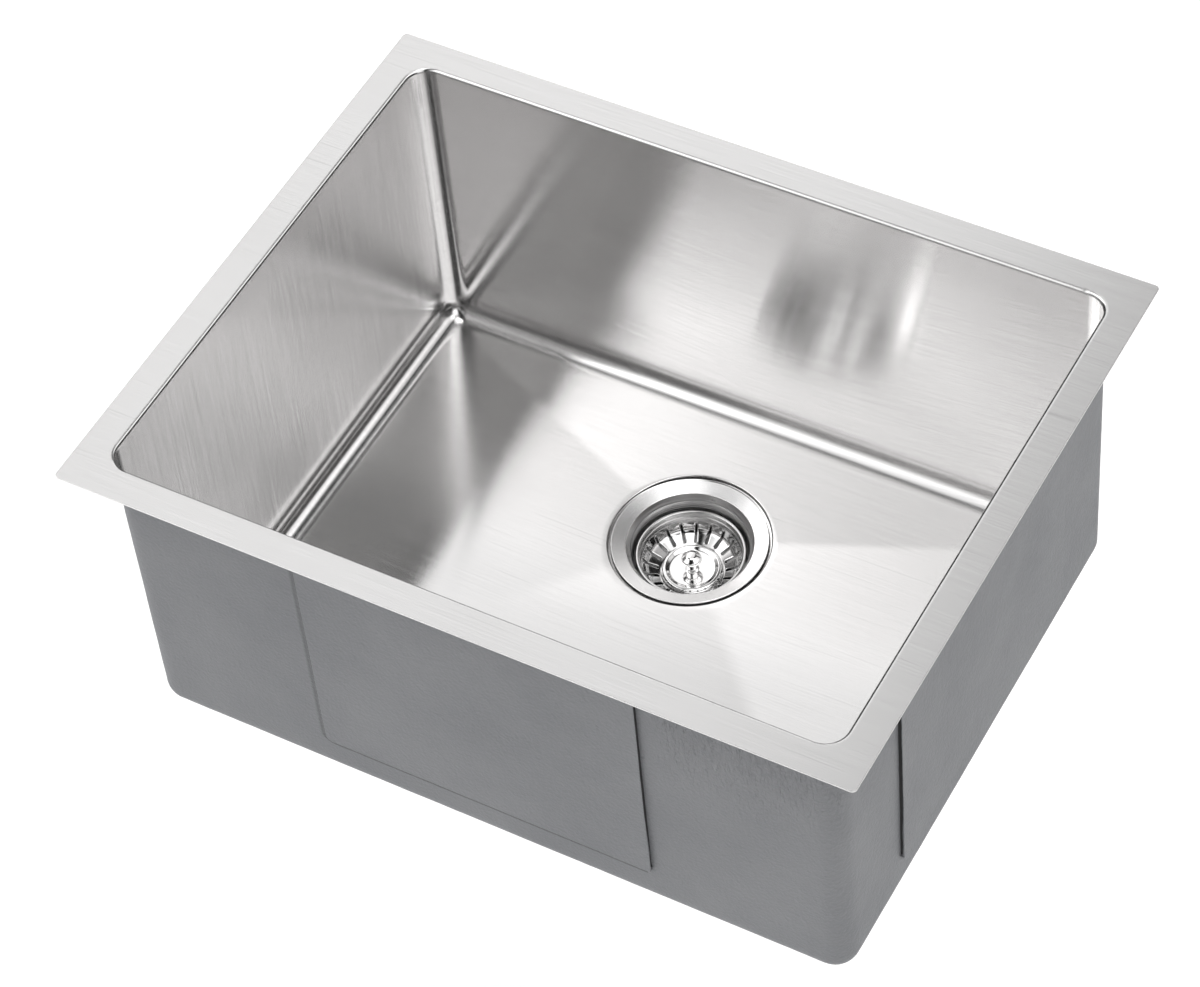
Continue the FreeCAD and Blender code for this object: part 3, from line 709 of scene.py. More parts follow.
def build_coat():
    L = Loops(graded(HX - WALL_R, 3.0, 3.4, 1.05), graded(HY - WALL_R, 3.0, 3.4, 1.05), 10)
    out = L.outward()
    rings = []
    g = T + COAT

    def wallring(z, off):
        p = L.ring(HX + off, HY + off, WALL_R + off, z)
        return p

    def relief(p, nrm, amount=1.0):
        q = p.copy()
        q += nrm * (coat_relief(p) * amount)[:, None]
        return q

    # feathered top edge
    wob = vnoise(wallring(0, T), (9.0, 9.0, 9.0), 31) * 0.8 + vnoise(wallring(0, T), 30.0, 32) * 0.6 - 1.5
    for dz, th in ((0.0, 0.03), (-0.6, 0.35), (-1.6, 0.55), (-3.0, 0.66)):
        p = wallring(0, T + th)
        p[:, 2] = COAT_TOP + wob + dz
        rings.append(p)
    for z in np.concatenate([[-10.5], np.linspace(-14.0, -240.0, 72)]):
        rings.append(relief(wallring(z, g), out))
    for i in range(1, 11):
        a = math.radians(9.0 * i)
        h = (COVE_R + g) * (1 - math.cos(a))
        p = L.ring(HX + g - h, HY + g - h, max(WALL_R + g - h, 1.0), -240.0 - (COVE_R + g) * math.sin(a))
        nrm = out * math.cos(a) + np.array([0, 0, -1.0]) * math.sin(a)
        rings.append(relief(p, nrm))
    down = np.tile([0, 0, -1.0], (L.n, 1))
    rim = L.ring(BX, BY, 0.4, -DEPTH)
    p = rim.copy()
    p[:, 2] = floor_z(p[:, 0], p[:, 1]) - g
    rings.append(relief(p, down))
    for r in floor_rays(rim, 62.0 + 0.5, 60):
        r = r.copy()
        r[:, 2] -= g
        rings.append(relief(r, down))
    edge = circle_like(rim, 62.02, 0.0)
    edge[:, 2] = floor_z(edge[:, 0], edge[:, 1]) - T - 0.35
    rings.append(edge)
    e2 = edge.copy()
    e2[:, 2] = floor_z(edge[:, 0], edge[:, 1]) - T - 0.02
    rings.append(e2)
    # inner skin on the steel, coarser
    for r in floor_rays(rim, 62.02, 8)[::-1][1:]:
        r = r.copy()
        r[:, 2] -= T + 0.02
        rings.append(r)
    for i in range(10, -1, -2):
        a = math.radians(9.0 * i)
        gg = T + 0.02
        h = (COVE_R + gg) * (1 - math.cos(a))
        rings.append(L.ring(HX + gg - h, HY + gg - h, max(WALL_R + gg - h, 1.0), -240.0 - (COVE_R + gg) * math.sin(a)))
    for z in (-160.0, -80.0, -14.0):
        rings.append(wallring(z, T + 0.02))
    p = wallring(0, T + 0.015)
    p[:, 2] = COAT_TOP + wob - 0.1
    rings.append(p)
    v, f = loft(rings, closed=True)
    f = f[:, ::-1]
    verts, faces, foot = [v], [f], [np.zeros(len(v))]
    cnt = len(v)
    # raised cover over each pad
    for pv, pf, pad_shade_paint in pad_covers():
        verts.append(pv)
        faces.append(pf + cnt)
        foot.append(pad_shade_paint)
        cnt += len(pv)
    V = np.concatenate(verts)
    F = np.concatenate(faces)
    ob = make_mesh("spray_coat", V, F, "sink", [M_COAT])
    # the 'foot' attribute carries the painted shade at the pads' feet, zero on the main coat
    at = ob.data.attributes.new("foot", "FLOAT", "POINT")
    at.data.foreach_set("value", np.concatenate(foot).astype(np.float32))
    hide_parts("undercoating")
    return ob


def lines_between(a, b, coarse, ends, fine):
    """Grid lines from a to b, close together within `ends` of each end."""
    def near(w):
        return np.arange(0, w + 1e-6, fine)
    lo = a + near(ends)
    hi = (b - near(ends))[::-1]
    k = max(2, int(math.ceil((hi[0] - lo[-1]) / coarse)))
    mid = np.linspace(lo[-1], hi[0], k + 1)[1:-1]
    return np.concatenate([lo, mid, hi])


def grid_faces(nu, nv):
    i, j = np.meshgrid(np.arange(nu - 1), np.arange(nv - 1), indexing="ij")
    a = (i * nv + j).ravel()
    return np.stack([a, a + nv, a + nv + 1, a + 1], 1)


def pad_covers():
    res = []
    foot, top = 1.8, 1.6

    def height(d):
        h = PAD * step(d, -foot, top)
        return np.where(d < -6.3, -0.08, np.maximum(h, 0.10))

    def painted_shade(d, low=0.0):
        """Painted shade: a darker coat colour in the corner at a pad's foot, and with low also under its bottom edge,
        standing in for the shade there.
        """
        s = 0.45 * np.exp(-((d + 3.1) / 1.25) ** 2) + 0.22 * np.exp(-((d + 2.4) / 2.4) ** 2) * step(d, -6.2, -4.6)
        return np.clip(s + low * 0.75 * np.exp(-((d + 4.2) / 0.95) ** 2), 0, 0.85)

    def sdf(a, b, ha, hb, r):
        qx, qy = np.abs(a) - (ha - r), np.abs(b) - (hb - r)
        return r - (np.hypot(np.clip(qx, 0, None), np.clip(qy, 0, None)) + np.minimum(np.maximum(qx, qy), 0))

    zc, hz = 0.5 * (PAD_Z0 + PAD_Z1), 0.5 * (PAD_Z1 - PAD_Z0)
    for side, w in (("front", 252.0), ("right", 250.0), ("back", 252.0), ("left", 250.0)):
        ha = w / 2
        A = lines_between(-ha - 7.4, ha, 3.2, 14.4, 0.6)
        B = lines_between(zc - hz - 7.4, zc + hz + 7.4, 3.2, 14.4, 0.6)
        a, b = np.meshgrid(A, B, indexing="ij")
        # the open side's corners are rounded by the grid itself
        rc = 4.0
        dz = np.clip((np.abs(b - zc) - (hz + 0.8 - rc)) / rc, 0, 1)
        pull = rc * (1 - np.sqrt(1 - dz ** 2))
        t = np.clip((a - (ha - 12.0)) / 12.0, 0, 1)
        a = a - pull * t
        rag = vnoise(np.c_[np.zeros(b.size), np.full(b.size, 7.0), b.ravel()], 5.0, 41).reshape(b.shape)
        rag2 = vnoise(np.c_[np.zeros(b.size), np.full(b.size, 3.0), b.ravel()], 17.0, 42).reshape(b.shape)
        # where the coat has run over the open side it stands a little further out
        lowend = step(-(b - zc), hz - 75.0, hz - 8.0)
        a = a + t ** 4 * (0.10 * rag + 0.12 * rag2 + 0.55 * lowend)
        # distance inside the outline; the open side doesn't count
        d = sdf(a - 5.0, b - zc, ha + 0.4 + 5.0, hz + 0.4, 6.4)
        h = height(d)
        # painted shade along the pad's outline, stronger under its bottom edge
        pad_shade_paint = painted_shade(d, step(zc - b, hz - 3.0, hz))
        shut = step(np.abs(b - zc), hz - 6.0, hz - 3.0)
        nu, nv = a.shape
        # lip of the open side
        la, lb = a[-1], b[-1]
        lip_t = PAD - 0.75 + 0.12 * rag[-1] - 0.9 * lowend[-1] * (0.6 + 0.4 * rag2[-1])
        lip = np.where(shut[-1] > 0, -0.08 * shut[-1] + lip_t * (1 - shut[-1]), lip_t)
        lip = np.minimum(lip, h[-1])
        a = np.vstack([a, la + 0.05, la + 0.02, la - 1.2])
        b = np.vstack([b, lb, lb, lb])
        h = np.vstack([h, (h[-1] * 0.93 + lip * 0.07), lip, lip])
        pad_shade_paint = np.vstack([pad_shade_paint, pad_shade_paint[-1] * 0, pad_shade_paint[-1] * 0, pad_shade_paint[-1] * 0])
        h[nu - 1] -= 0.06
        m = {
            "front": ((1, 0), (0, -1), HY),
            "right": ((0, -1), (1, 0), HX),
            "back": ((-1, 0), (0, 1), HY),
            "left": ((0, 1), (-1, 0), HX),
        }[side]
        # right and left pads are laid out so that their open side is -Y / +Y
        ax, on, half = m
        base = half + T + COAT
        px = a * ax[0] + base * on[0]
        py = a * ax[1] + base * on[1]
        P = np.stack([px.ravel(), py.ravel(), b.ravel()], 1)
        nrm = np.array([on[0], on[1], 0.0])
        P = P + nrm * (h.ravel() + coat_relief(P))[:, None]
        F = grid_faces(a.shape[0], a.shape[1])
        if side in ("right", "left"):
            F = F[:, ::-1]
        p0, p1, p2 = P[F[50, 0]], P[F[50, 1]], P[F[50, 2]]
        if np.dot(np.cross(p1 - p0, p2 - p1), nrm) < 0:
            F = F[:, ::-1]
        res.append((P, F, pad_shade_paint.ravel()))
    for x0, x1, y0, y1 in ((-125.0, 125.0, -152.0, -7.0), (-236.0, -146.0, -62.0, 128.0), (146.0, 236.0, -62.0, 128.0)):
        A = lines_between(x0 - 7.4, x1 + 7.4, 3.2, 14.4, 0.6)
        B = lines_between(y0 - 7.4, y1 + 7.4, 3.2, 14.4, 0.6)
        a, b = np.meshgrid(A, B, indexing="ij")
        d = sdf(a - 0.5 * (x0 + x1), b - 0.5 * (y0 + y1), 0.5 * (x1 - x0) + 0.4, 0.5 * (y1 - y0) + 0.4, 6.4)
        h = height(d)
        # painted shade round the floor pad's outline
        pad_shade_paint = painted_shade(d)
        z = floor_z(a.ravel(), b.ravel()) - T - COAT
        P = np.stack([a.ravel(), b.ravel(), z], 1)
        P[:, 2] -= h.ravel() + coat_relief(P)
        F = grid_faces(a.shape[0], a.shape[1])[:, ::-1]
        res.append((P, F, pad_shade_paint.ravel()))
    return res


build_bowl()
build_coat()
for n in nodes:
    if n.startswith("sound_pad"):
        nodes[n].data.materials.clear()
        nodes[n].data.materials.append(M_PADRUB)

# ------------------------------------------------------------------ strainer
CUP_R, CUP_R2, NECK_I, NECK_O, NECK_END = 42.2, 41.4, 21.5, 24.0, -331.0
G = 0.02


def thread(r0, z0, z1, pitch, depth):
    """Returns a shape function that cuts a helical thread between two heights."""
    def fn(r, z, ang):
        fade = step(z, z0, z0 + pitch) * (1 - step(z, z1 - pitch, z1))
        ph = (z / pitch - ang / (2 * math.pi)) % 1.0
        tri = np.abs(ph * 2 - 1)
        cut = depth * np.clip((tri - 0.12) / 0.76, 0, 1) * fade
        on = np.abs(r - r0) < 1.2
        return np.where(on, r - cut, r), z
    return fn


def dense(prof, r_lo, r_hi, z_lo, z_hi, dz):
    """Adds points on the near-vertical stretch of an outline, for a thread."""
    out = []
    n = len(prof)
    for i in range(n):
        p, q = prof[i], prof[(i + 1) % n]
        out.append(p)
        if r_lo < p[0] < r_hi and r_lo < q[0] < r_hi and abs(q[1] - p[1]) > 1.5:
            k = int(abs(q[1] - p[1]) / dz)
            for j in range(1, k):
                s = p + (q - p) * j / k
                out.append(s)
    return np.array(out)


def build_strainer():
    # the ring ends in a crisp edge, then a short cone leads to the wall
    er = 46.6
    ez = z_top(er)
    prof = arc_profile([
        (STR_R, z_top(STR_R) - 0.05, 0.45),
        (er, ez, 0.4),
        (44.3, ez - 3.1, 2.6),
        (CUP_R2, -300.5, 3.2),
        (36.0, -302.6, 4.0),
        (NECK_I, -308.2, 2.5),
        (NECK_I, NECK_END, 0.25),
        (NECK_O, NECK_END, 0.4),
        (NECK_O, -309.9, 1.2),
        (36.2, -304.1, 4.0),
        (CUP_R2 + STR_T, -301.7, 4.2),
        (43.42, ez - 4.6, 2.4),
        (er - 0.55, z_under(er - 0.55), 0.5),
        (STR_R, z_under(STR_R) + 0.05, 0.45),
    ], 5.0)
    prof = dense(prof, 42.35, 43.45, -300.0, -266.0, 0.25)
    prof = dense(prof, 23.7, 24.2, -331.0, -310.0, 0.22)

    t1 = thread(43.0, -299.0, -268.0, 2.0, 0.42)
    t2 = thread(24.0, -330.5, -312.0, 1.6, 0.40)

    def shape(r, z, ang):
        if 42.35 < r[0] < 43.5 and -300 < z[0] < -267:
            return t1(r, z, ang)
        if 23.7 < r[0] < 24.2:
            return t2(r, z, ang)
        return r, z

    v, f = lathe_data(prof, 180, shape=shape)
    rad = np.hypot(v[:, 0] - CX, v[:, 1] - CY)
    mi = []
    for q in f:
        r = rad[list(q)].mean()
        z = v[list(q), 2].mean()
        inside_wall = 20 < r < er - 0.25
        mi.append(1 if (inside_wall or z < z_under(r) - 0.05) else 0)
    ob = make_mesh("strainer_cup", v, f, "sink", [M_RING, M_CUP], mi)
    fix_normals(ob)
    ob.data.set_sharp_from_angle(angle=math.radians(35))
    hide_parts("strainer_body")


build_strainer()


def simple(node, pts, mat, slot, body="sink", name=None, **kw):
    ob = lathe(name or node + "_turned", pts, body, mat, slot=slot, **kw)
    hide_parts(node)
    return ob


slots = {}
for m in frame["record"]["materials"]:
    for n in m.get("nodes", []):
        slots[n] = m["slot"]

simple("flange_seal", [(56.5, z_under(56.5) - G, 0.3), (47.3, z_under(47.3) - G, 0.2), (47.3, z_seat(47.3) + G, 0.2), (56.5, z_seat(56.5) + G, 0.3)], M_SEAL, "seal_rubber")
bo = CUP_R + STR_T + 0.25
GL = -269.2
simple("lower_gasket", [
    (bo + 1.9, z_seat_low(bo + 1.9) - G, 0.4), (57.0, z_seat_low(57.0) - G, 0.6), (57.0, GL, 0.6), (bo, GL, 0.3),
    (bo, z_seat_low(bo + 1.9) - G - 0.6, 0.3)], M_SEAL, "seal_rubber")
simple("friction_ring", [(bo, GL - G, 0.15), (57.0, GL - G, 0.2), (57.0, GL - G - 1.0, 0.2), (bo, GL - G - 1.0, 0.15)], M_FIBRE, "fibre_ring")


def boolean(ob, tool, op):
    m = ob.modifiers.new("b", "BOOLEAN")
    m.object = tool
    m.operation = op
    m.solver = "EXACT"
    dg = bpy.context.evaluated_depsgraph_get()
    me = bpy.data.meshes.new_from_object(ob.evaluated_get(dg))
    ob.modifiers.clear()
    old = ob.data
    ob.data = me
    bpy.data.meshes.remove(old)
    bpy.data.objects.remove(tool)


def bevel(ob, width, segs=3, angle=30):
    m = ob.modifiers.new("edge", "BEVEL")
    m.width = width * MM
    m.segments = segs
    m.limit_method = "ANGLE"
    m.angle_limit = math.radians(angle)
    m.harden_normals = False
    dg = bpy.context.evaluated_depsgraph_get()
    me = bpy.data.meshes.new_from_object(ob.evaluated_get(dg))
    ob.modifiers.clear()
    old = ob.data
    ob.data = me
    bpy.data.meshes.remove(old)


def temp(name, v, f):
    me = bpy.data.meshes.new(name)
    me.from_pydata((np.asarray(v, float) * MM).tolist(), [], [tuple(int(k) for k in q) for q in f])
    bm = bmesh.new()
    bm.from_mesh(me)
    bmesh.ops.recalc_face_normals(bm, faces=bm.faces)
    bm.to_mesh(me)
    bm.free()
    ob = bpy.data.objects.new(name, me)
    scene.collection.objects.link(ob)
    return ob


def temp_lathe(name, pts, seg=120, arc_step=12.0):
    v, f = lathe_data(arc_profile(pts, arc_step, support=0), seg)
    return temp(name, v, f)


def prism(name, pts, z0, z1):
    n = len(pts)
    v = [(x, y, z0) for x, y in pts] + [(x, y, z1) for x, y in pts]
    f = [tuple(range(n - 1, -1, -1)), tuple(range(n, 2 * n))] + [(i, (i + 1) % n, n + (i + 1) % n, n + i) for i in range(n)]
    return temp(name, v, f)


def adopt(ob, name, node, body, mat, sharp=30):
    """Turns a temporary object into a piece that stands for a node."""
    ob.name = name
    ob.data.name = name
    ob.data.materials.clear()
    ob.data.materials.append(mat)
    ob.data.polygons.foreach_set("use_smooth", np.full(len(ob.data.polygons), True))
    ob.data.set_sharp_from_angle(angle=math.radians(sharp))
    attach(ob, body)
    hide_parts(node)
    return ob


# locknut: ring with eight lugs
NT = GL - 2 * G - 1.0
NB = NT - 12.0
nut_in = CUP_R + STR_T + 0.05
nut = temp_lathe("locknut_ring", [
    (nut_in, NT, 0.4), (56.0, NT, 0.8), (56.0, NT - 3.0, 0.5), (50.5, NT - 3.0, 0.5), (50.5, NB, 0.8), (nut_in, NB, 0.4)], 128)
for i in range(8):
    a = math.radians(45 * i + 22.5)
    c, s = math.cos(a), math.sin(a)
    pts = [(48.0, -3.0), (54.6, -2.7), (54.6, 2.7), (48.0, 3.0)]
    pts = [(CX + x * c - y * s, CY + x * s + y * c) for x, y in pts]
    lug = prism("lug", pts, NB + 0.4, NB + 9.4)
    bevel(lug, 0.5, 2)
    boolean(nut, lug, "UNION")
adopt(nut, "locknut_cast", "locknut", "sink", M_ZINC)

# outlet washer, tailpiece
w_top = NECK_END - G
simple("outlet_washer", [
    (19.65, w_top, 0.3), (23.4, w_top, 0.3), (23.4, w_top - 2.0, 0.3), (19.65, w_top - 2.0, 0.3)], M_NYLON, "nylon_washer")
TF = w_top - 2.0 - G
simple("tailpiece", [
    (18.0, TF, 0.5), (23.4, TF, 0.4), (23.4, TF - 1.3, 0.4), (18.9, TF - 1.3, 0.4), (18.9, -344.0), (19.05, -344.6),
    (19.05, -430.0, 0.3), (18.0, -430.0, 0.3)],
    M_CHROME, "chromed_tube", seg=144)

# coupling nut: hexagon with a turned collar
cn_top, cn_bot = -317.0, TF - 1.3 - 3.2
hexr = 29.5
hx_pts = [(CX + hexr * math.cos(math.radians(60 * i + 30)), CY + hexr * math.sin(math.radians(60 * i + 30))) for i in range(6)]
cnut = prism("cnut", hx_pts, cn_bot, cn_top - 4.0)
dome = temp_lathe("dome", [(0, cn_bot - 1), (26.0, cn_bot - 1), (26.4, cn_bot), (29.6, cn_bot + 3.2), (29.6, cn_top - 5.6), (28.4, cn_top - 3.9), (28.0, cn_top), (0, cn_top)], 120)
boolean(cnut, dome, "INTERSECT")
col = temp_lathe("collar", [(0, cn_top, 0), (26.6, cn_top, 0.8), (26.6, cn_top - 6.0, 0), (0, cn_top - 6.0, 0)], 120)
boolean(cnut, col, "UNION")
bore = temp_lathe("bore", [(0, cn_top + 5), (NECK_O + 0.05, cn_top + 5), (NECK_O + 0.05, TF - 1.35), (19.55, TF - 1.35), (19.55, cn_bot - 5), (0, cn_bot - 5)], 120)
boolean(cnut, bore, "DIFFERENCE")
bevel(cnut, 0.35, 2, 28)
adopt(cnut, "coupling_nut_hex", "coupling_nut", "sink", M_CHROME)


# crossbar in the neck
def build_cross():
    z0, z1 = -324.0, -321.5
    hub = temp_lathe("hub", [(3.6, z1, 0.2), (6.0, z1, 0.4), (6.0, z0, 0.4), (3.6, z0, 0.2)], 48)
    for a in (0, 90, 180, 270):
        c, s = math.cos(math.radians(a)), math.sin(math.radians(a))
        pts = [(4.6, -2.0), (21.30, -2.0), (21.46, 0.0), (21.30, 2.0), (4.6, 2.0)]
        pts = [(CX + x * c - y * s, CY + x * s + y * c) for x, y in pts]
        arm = prism("arm", pts, z0 + 0.01, z1 - 0.01)
        bevel(arm, 0.35, 2)
        boolean(hub, arm, "UNION")
    adopt(hub, "crossbar_cast", "strainer_crossbar", "sink", M_SATIN)


build_cross()

# ------------------------------------------------------------------ basket
RIM_R, RIM_Z, BT, BORE = 39.9, -273.0, 0.9, 3.05
SLOTS, S_IN, S_OUT, W_IN, W_OUT = 20, 24.2, 36.0, 2.6, 1.7


def slot_half(r):
    """Half width of a slot at radius r: round inner end, narrower round outer end."""
    ri, ro, wi, wo = S_IN, S_OUT, W_IN / 2, W_OUT / 2
    r = np.asarray(r, float)
    t = np.clip((r - ri - wi) / (ro - wo - ri - wi), 0, 1)
    w = wi + (wo - wi) * t
    w = np.where(r < ri + wi, np.sqrt(np.clip(wi ** 2 - (ri + wi - r) ** 2, 0, None)), w)
    w = np.where(r > ro - wo, np.sqrt(np.clip(wo ** 2 - (r - ro + wo) ** 2, 0, None)), w)
    return np.where((r <= ri) | (r >= ro), 0.0, w)


def build_basket_cup():
    topp = arc_profile([
        (BORE, -292.4), (22.6, -292.4, 2.5), (32.6, -287.6, 6.0), (36.5, -281.0, 1.6), (36.9, -277.4, 0.6),
        (37.5, -276.9, 0.6), (37.9, RIM_Z, 0.9), (RIM_R, RIM_Z, 0.42), (RIM_R, RIM_Z - BT, 0.42), (37.9 + BT, RIM_Z - BT, 0.3),
        (37.5 + BT, -277.4, 0.5), (36.9 + BT, -277.9, 0.6), (36.5 + BT, -281.4, 2.2), (33.1, -288.5, 6.8), (22.9, -292.4 - BT, 3.3), (BORE, -292.4 - BT)], 5.0)
    # split the outline into the upper and lower run at the rim's outer edge
    k = int(np.argmax(topp[:, 0] + (topp[:, 1] > RIM_Z - 0.45) * 1e-3))
    up, low = topp[:k + 1], topp[k + 1:][::-1]

    def refine(run):
        """Adds rows at fixed radii through the slot zone."""
        rs = np.concatenate([
            [S_IN - 1.2, S_IN - 0.4],
            S_IN + (W_IN / 2) * (1 - np.cos(np.linspace(0, math.pi / 2, 9))),
            np.linspace(S_IN + W_IN / 2, S_OUT - W_OUT / 2, 17)[1:-1],
            S_OUT - (W_OUT / 2) * (1 - np.sin(np.linspace(0, math.pi / 2, 8))),
            [S_OUT + 0.12],
        ])
        mono = run[run[:, 0] < 36.3]
        zz = np.interp(rs, mono[:, 0], mono[:, 1])
        before = run[(run[:, 0] < rs[0] - 0.05)]
        idx_after = np.where(run[:, 0] > rs[-1] + 0.02)[0]
        after = run[idx_after]
        return before, np.c_[rs, zz], after

    ub, um, ua = refine(up)
    lb, lm, la = refine(low)
    cols = 12
    sector = 2 * math.pi / SLOTS
    V, F = [], []

    def surface(rows, flip, drop=0.0):
        """One sector strip repeated; columns run from slot edge to slot edge."""
        base = sum(len(q) for q in V)
        pts = []
        for r, z in rows:
            w = float(slot_half(r))
            e = math.asin(min(1.0, w / r)) if r > 1 else 0.0
            u = np.linspace(0, 1, cols + 1)
            # columns crowd towards the slot edges
            u = 0.5 - 0.5 * np.cos(u * math.pi) * (0.35) - 0.5 * (1 - 2 * u) * 0.65
            zz = np.full(cols + 1, z)
            if w > 0:
                edge = min(1.0, w / 0.6)
                zz[0] -= drop * edge
                zz[-1] -= drop * edge
            for s in range(SLOTS):
                a = math.radians(4.0) + s * sector + e + (sector - 2 * e) * u
                pts.append(np.stack([CX + r * np.cos(a), CY + r * np.sin(a), zz], 1))
        arr = np.concatenate(pts)
        V.append(arr)
        nr = len(rows)
        for i in range(nr - 1):
            for s in range(SLOTS):
                a0 = base + (i * SLOTS + s) * (cols + 1)
                b0 = base + ((i + 1) * SLOTS + s) * (cols + 1)
                for c in range(cols):
                    q = (a0 + c, a0 + c + 1, b0 + c + 1, b0 + c)
                    F.append(q if flip else q[::-1])
        return base

    rows_u = np.concatenate([ub, um, ua])
    rows_l = np.concatenate([lb, lm, la])
    bu = surface(rows_u, False, 0.14)
    bl = surface(rows_l, True, -0.10)
    nu_b, nl_b = len(ub), len(lb)
    # slot walls
    for i in range(len(um) - 1):
        if float(slot_half(um[i, 0])) <= 0 and float(slot_half(um[i + 1, 0])) <= 0:
            continue
        for s in range(SLOTS):
            for c in (0, cols):
                a = bu + ((nu_b + i) * SLOTS + s) * (cols + 1) + c
                b = bu + ((nu_b + i + 1) * SLOTS + s) * (cols + 1) + c
                d = bl + ((nl_b + i) * SLOTS + s) * (cols + 1) + c
                e = bl + ((nl_b + i + 1) * SLOTS + s) * (cols + 1) + c
                F.append((a, b, e, d))
    # rim edge and bore
    for (ra, rb) in ((len(rows_u) - 1, len(rows_l) - 1), (0, 0)):
        for s in range(SLOTS):
            for c in range(cols):
                a = bu + (ra * SLOTS + s) * (cols + 1) + c
                d = bl + (rb * SLOTS + s) * (cols + 1) + c
                F.append((a, a + 1, d + 1, d))
    v = np.concatenate(V)
    me = bpy.data.meshes.new("cup")
    me.from_pydata((v * MM).tolist(), [], F)
    bm = bmesh.new()
    bm.from_mesh(me)
    bmesh.ops.remove_doubles(bm, verts=bm.verts, dist=2e-7)
    bmesh.ops.dissolve_degenerate(bm, dist=1e-7, edges=bm.edges)
    bmesh.ops.recalc_face_normals(bm, faces=bm.faces)
    bm.to_mesh(me)
    bm.free()
    ob = bpy.data.objects.new("basket_cup_pressed", me)
    scene.collection.objects.link(ob)
    me.materials.append(M_POL2)
    me.materials.append(M_RIM)
    cen = np.zeros(len(me.polygons) * 3)
    me.polygons.foreach_get("center", cen)
    cen = cen.reshape(-1, 3)
    far = np.hypot(cen[:, 0] - CX * MM, cen[:, 1] - CY * MM) > 0.0363
    me.polygons.foreach_set("material_index", (far & (cen[:, 2] < -0.2738)).astype(np.int32))
    me.polygons.foreach_set("use_smooth", np.full(len(me.polygons), True))
    me.set_sharp_from_angle(angle=math.radians(40))
    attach(ob, "basket")
    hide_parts("basket_cup")


M_POL2 = polished("polished_basket", 0.60, 0.07, rings=0.05, wear=0.02)
M_RIM = polished("satin_basket_rim", 0.62, 0.24, rings=0.4, wear=0.04, aniso=0.7)
build_basket_cup()

CAP_R = 22.3
simple("basket_cap", [
    (BORE, -290.9), (16.5, -290.9, 2.2), (19.5, -289.4, 1.1), (21.3, -289.75, 1.3), (CAP_R, -291.2, 0.6), (CAP_R, -292.35, 0.2),
    (CAP_R - 0.8, -292.35, 0.2), (CAP_R - 0.9, -291.4, 0.5), (20.8, -290.65, 0.8), (19.7, -290.35, 0.8), (16.7, -291.8, 1.4), (BORE, -291.8)],
    M_POL, "polished_stainless", body="basket", arc_step=5.0)
KR = 7.35
simple("basket_knob", [
    (0.0, -275.9), (3.4, -276.1, 3.5), (KR, -278.6, 2.0), (KR, -280.9, 1.2), (4.4, -283.2, 1.4), (4.1, -288.6, 1.5),
    (5.4, -290.85, 0.3), (BORE, -290.85), (BORE, -281.0), (0.0, -281.0)],
    M_POL, "polished_stainless", body="basket", seg=96, arc_step=5.0)

# ------------------------------------------------------------------ stem and stopper
stem_prof = arc_profile([(0.0, -281.3), (3.0, -281.3, 0.3), (3.0, -313.0, 0.6), (0.0, -313.0)], 10)
stem_prof = dense(stem_prof, 2.9, 3.1, -313, -281, 0.14)
st = lathe("stem_post_turned", None, "stem", M_SATIN, seg=48, prof=stem_prof, shape=thread(3.0, -312.6, -303.0, 1.0, 0.22), slot="polished_stainless")
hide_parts("stem_post")
simple("rubber_stopper", [
    (3.02, -293.7), (17.5, -293.7, 1.0), (19.5, -299.4, 3.0), (28.6, -303.2, 0.5), (29.0, -304.95, 0.4), (24.0, -306.1, 2.0),
    (15.0, -304.4, 2.0), (3.02, -304.4)], M_STOP, "stopper_rubber", body="stem", seg=144)
simple("stopper_washer", [(3.02, -304.42), (11.0, -304.42, 0.2), (11.0, -305.62, 0.2), (3.02, -305.62)], M_SATIN, "polished_stainless", body="stem", seg=96)
sn_pts = [(CX + 5.77 * math.cos(math.radians(60 * i)), CY + 5.77 * math.sin(math.radians(60 * i))) for i in range(6)]
sn = prism("sn", sn_pts, -310.6, -305.65)
dome = temp_lathe("sdome", [(0, -310.7), (4.95, -310.7), (5.9, -309.7), (5.9, -305.0), (0, -305.0)], 72)
boolean(sn, dome, "INTERSECT")
bore = temp_lathe("sbore", [(0, -300), (3.02, -300), (3.02, -315), (0, -315)], 48)
boolean(sn, bore, "DIFFERENCE")
bevel(sn, 0.15, 2, 28)
adopt(sn, "stem_nut_hex", "stem_nut", "stem", M_SATIN)

# ------------------------------------------------------------------ floor, light, camera
floor_mat = bpy.data.materials.new("studio_floor")
floor_mat.use_nodes = True
t = floor_mat.node_tree
b = t.nodes["Principled BSDF"]
b.inputs["Base Color"].default_value = (0.86, 0.86, 0.86, 1)
b.inputs["Roughness"].default_value = 0.9
b.inputs["Specular IOR Level"].default_value = 0.0
b.inputs["Emission Color"].default_value = (1, 1, 1, 1)
b.inputs["Emission Strength"].default_value = 0.30
geo = t.nodes.new("ShaderNodeNewGeometry")
tr = t.nodes.new("ShaderNodeBsdfTransparent")
mx = t.nodes.new("ShaderNodeMixShader")
t.links.new(geo.outputs["Backfacing"], mx.inputs[0])
t.links.new(b.outputs[0], mx.inputs[1])
t.links.new(tr.outputs[0], mx.inputs[2])
t.links.new(mx.outputs[0], t.nodes["Material Output"].inputs[0])
me = bpy.data.meshes.new("studio_floor")
me.from_pydata([(-9, -9, -0.9), (9, -9, -0.9), (9, 9, -0.9), (-9, 9, -0.9)], [], [(0, 1, 2, 3)])
me.materials.append(floor_mat)
floor = bpy.data.objects.new("studio_floor", me)
scene.collection.objects.link(floor)

world = bpy.data.worlds.new("studio")
scene.world = world
world.use_nodes = True
w = world.node_tree
w.nodes.clear()
co = w.nodes.new("ShaderNodeTexCoord")

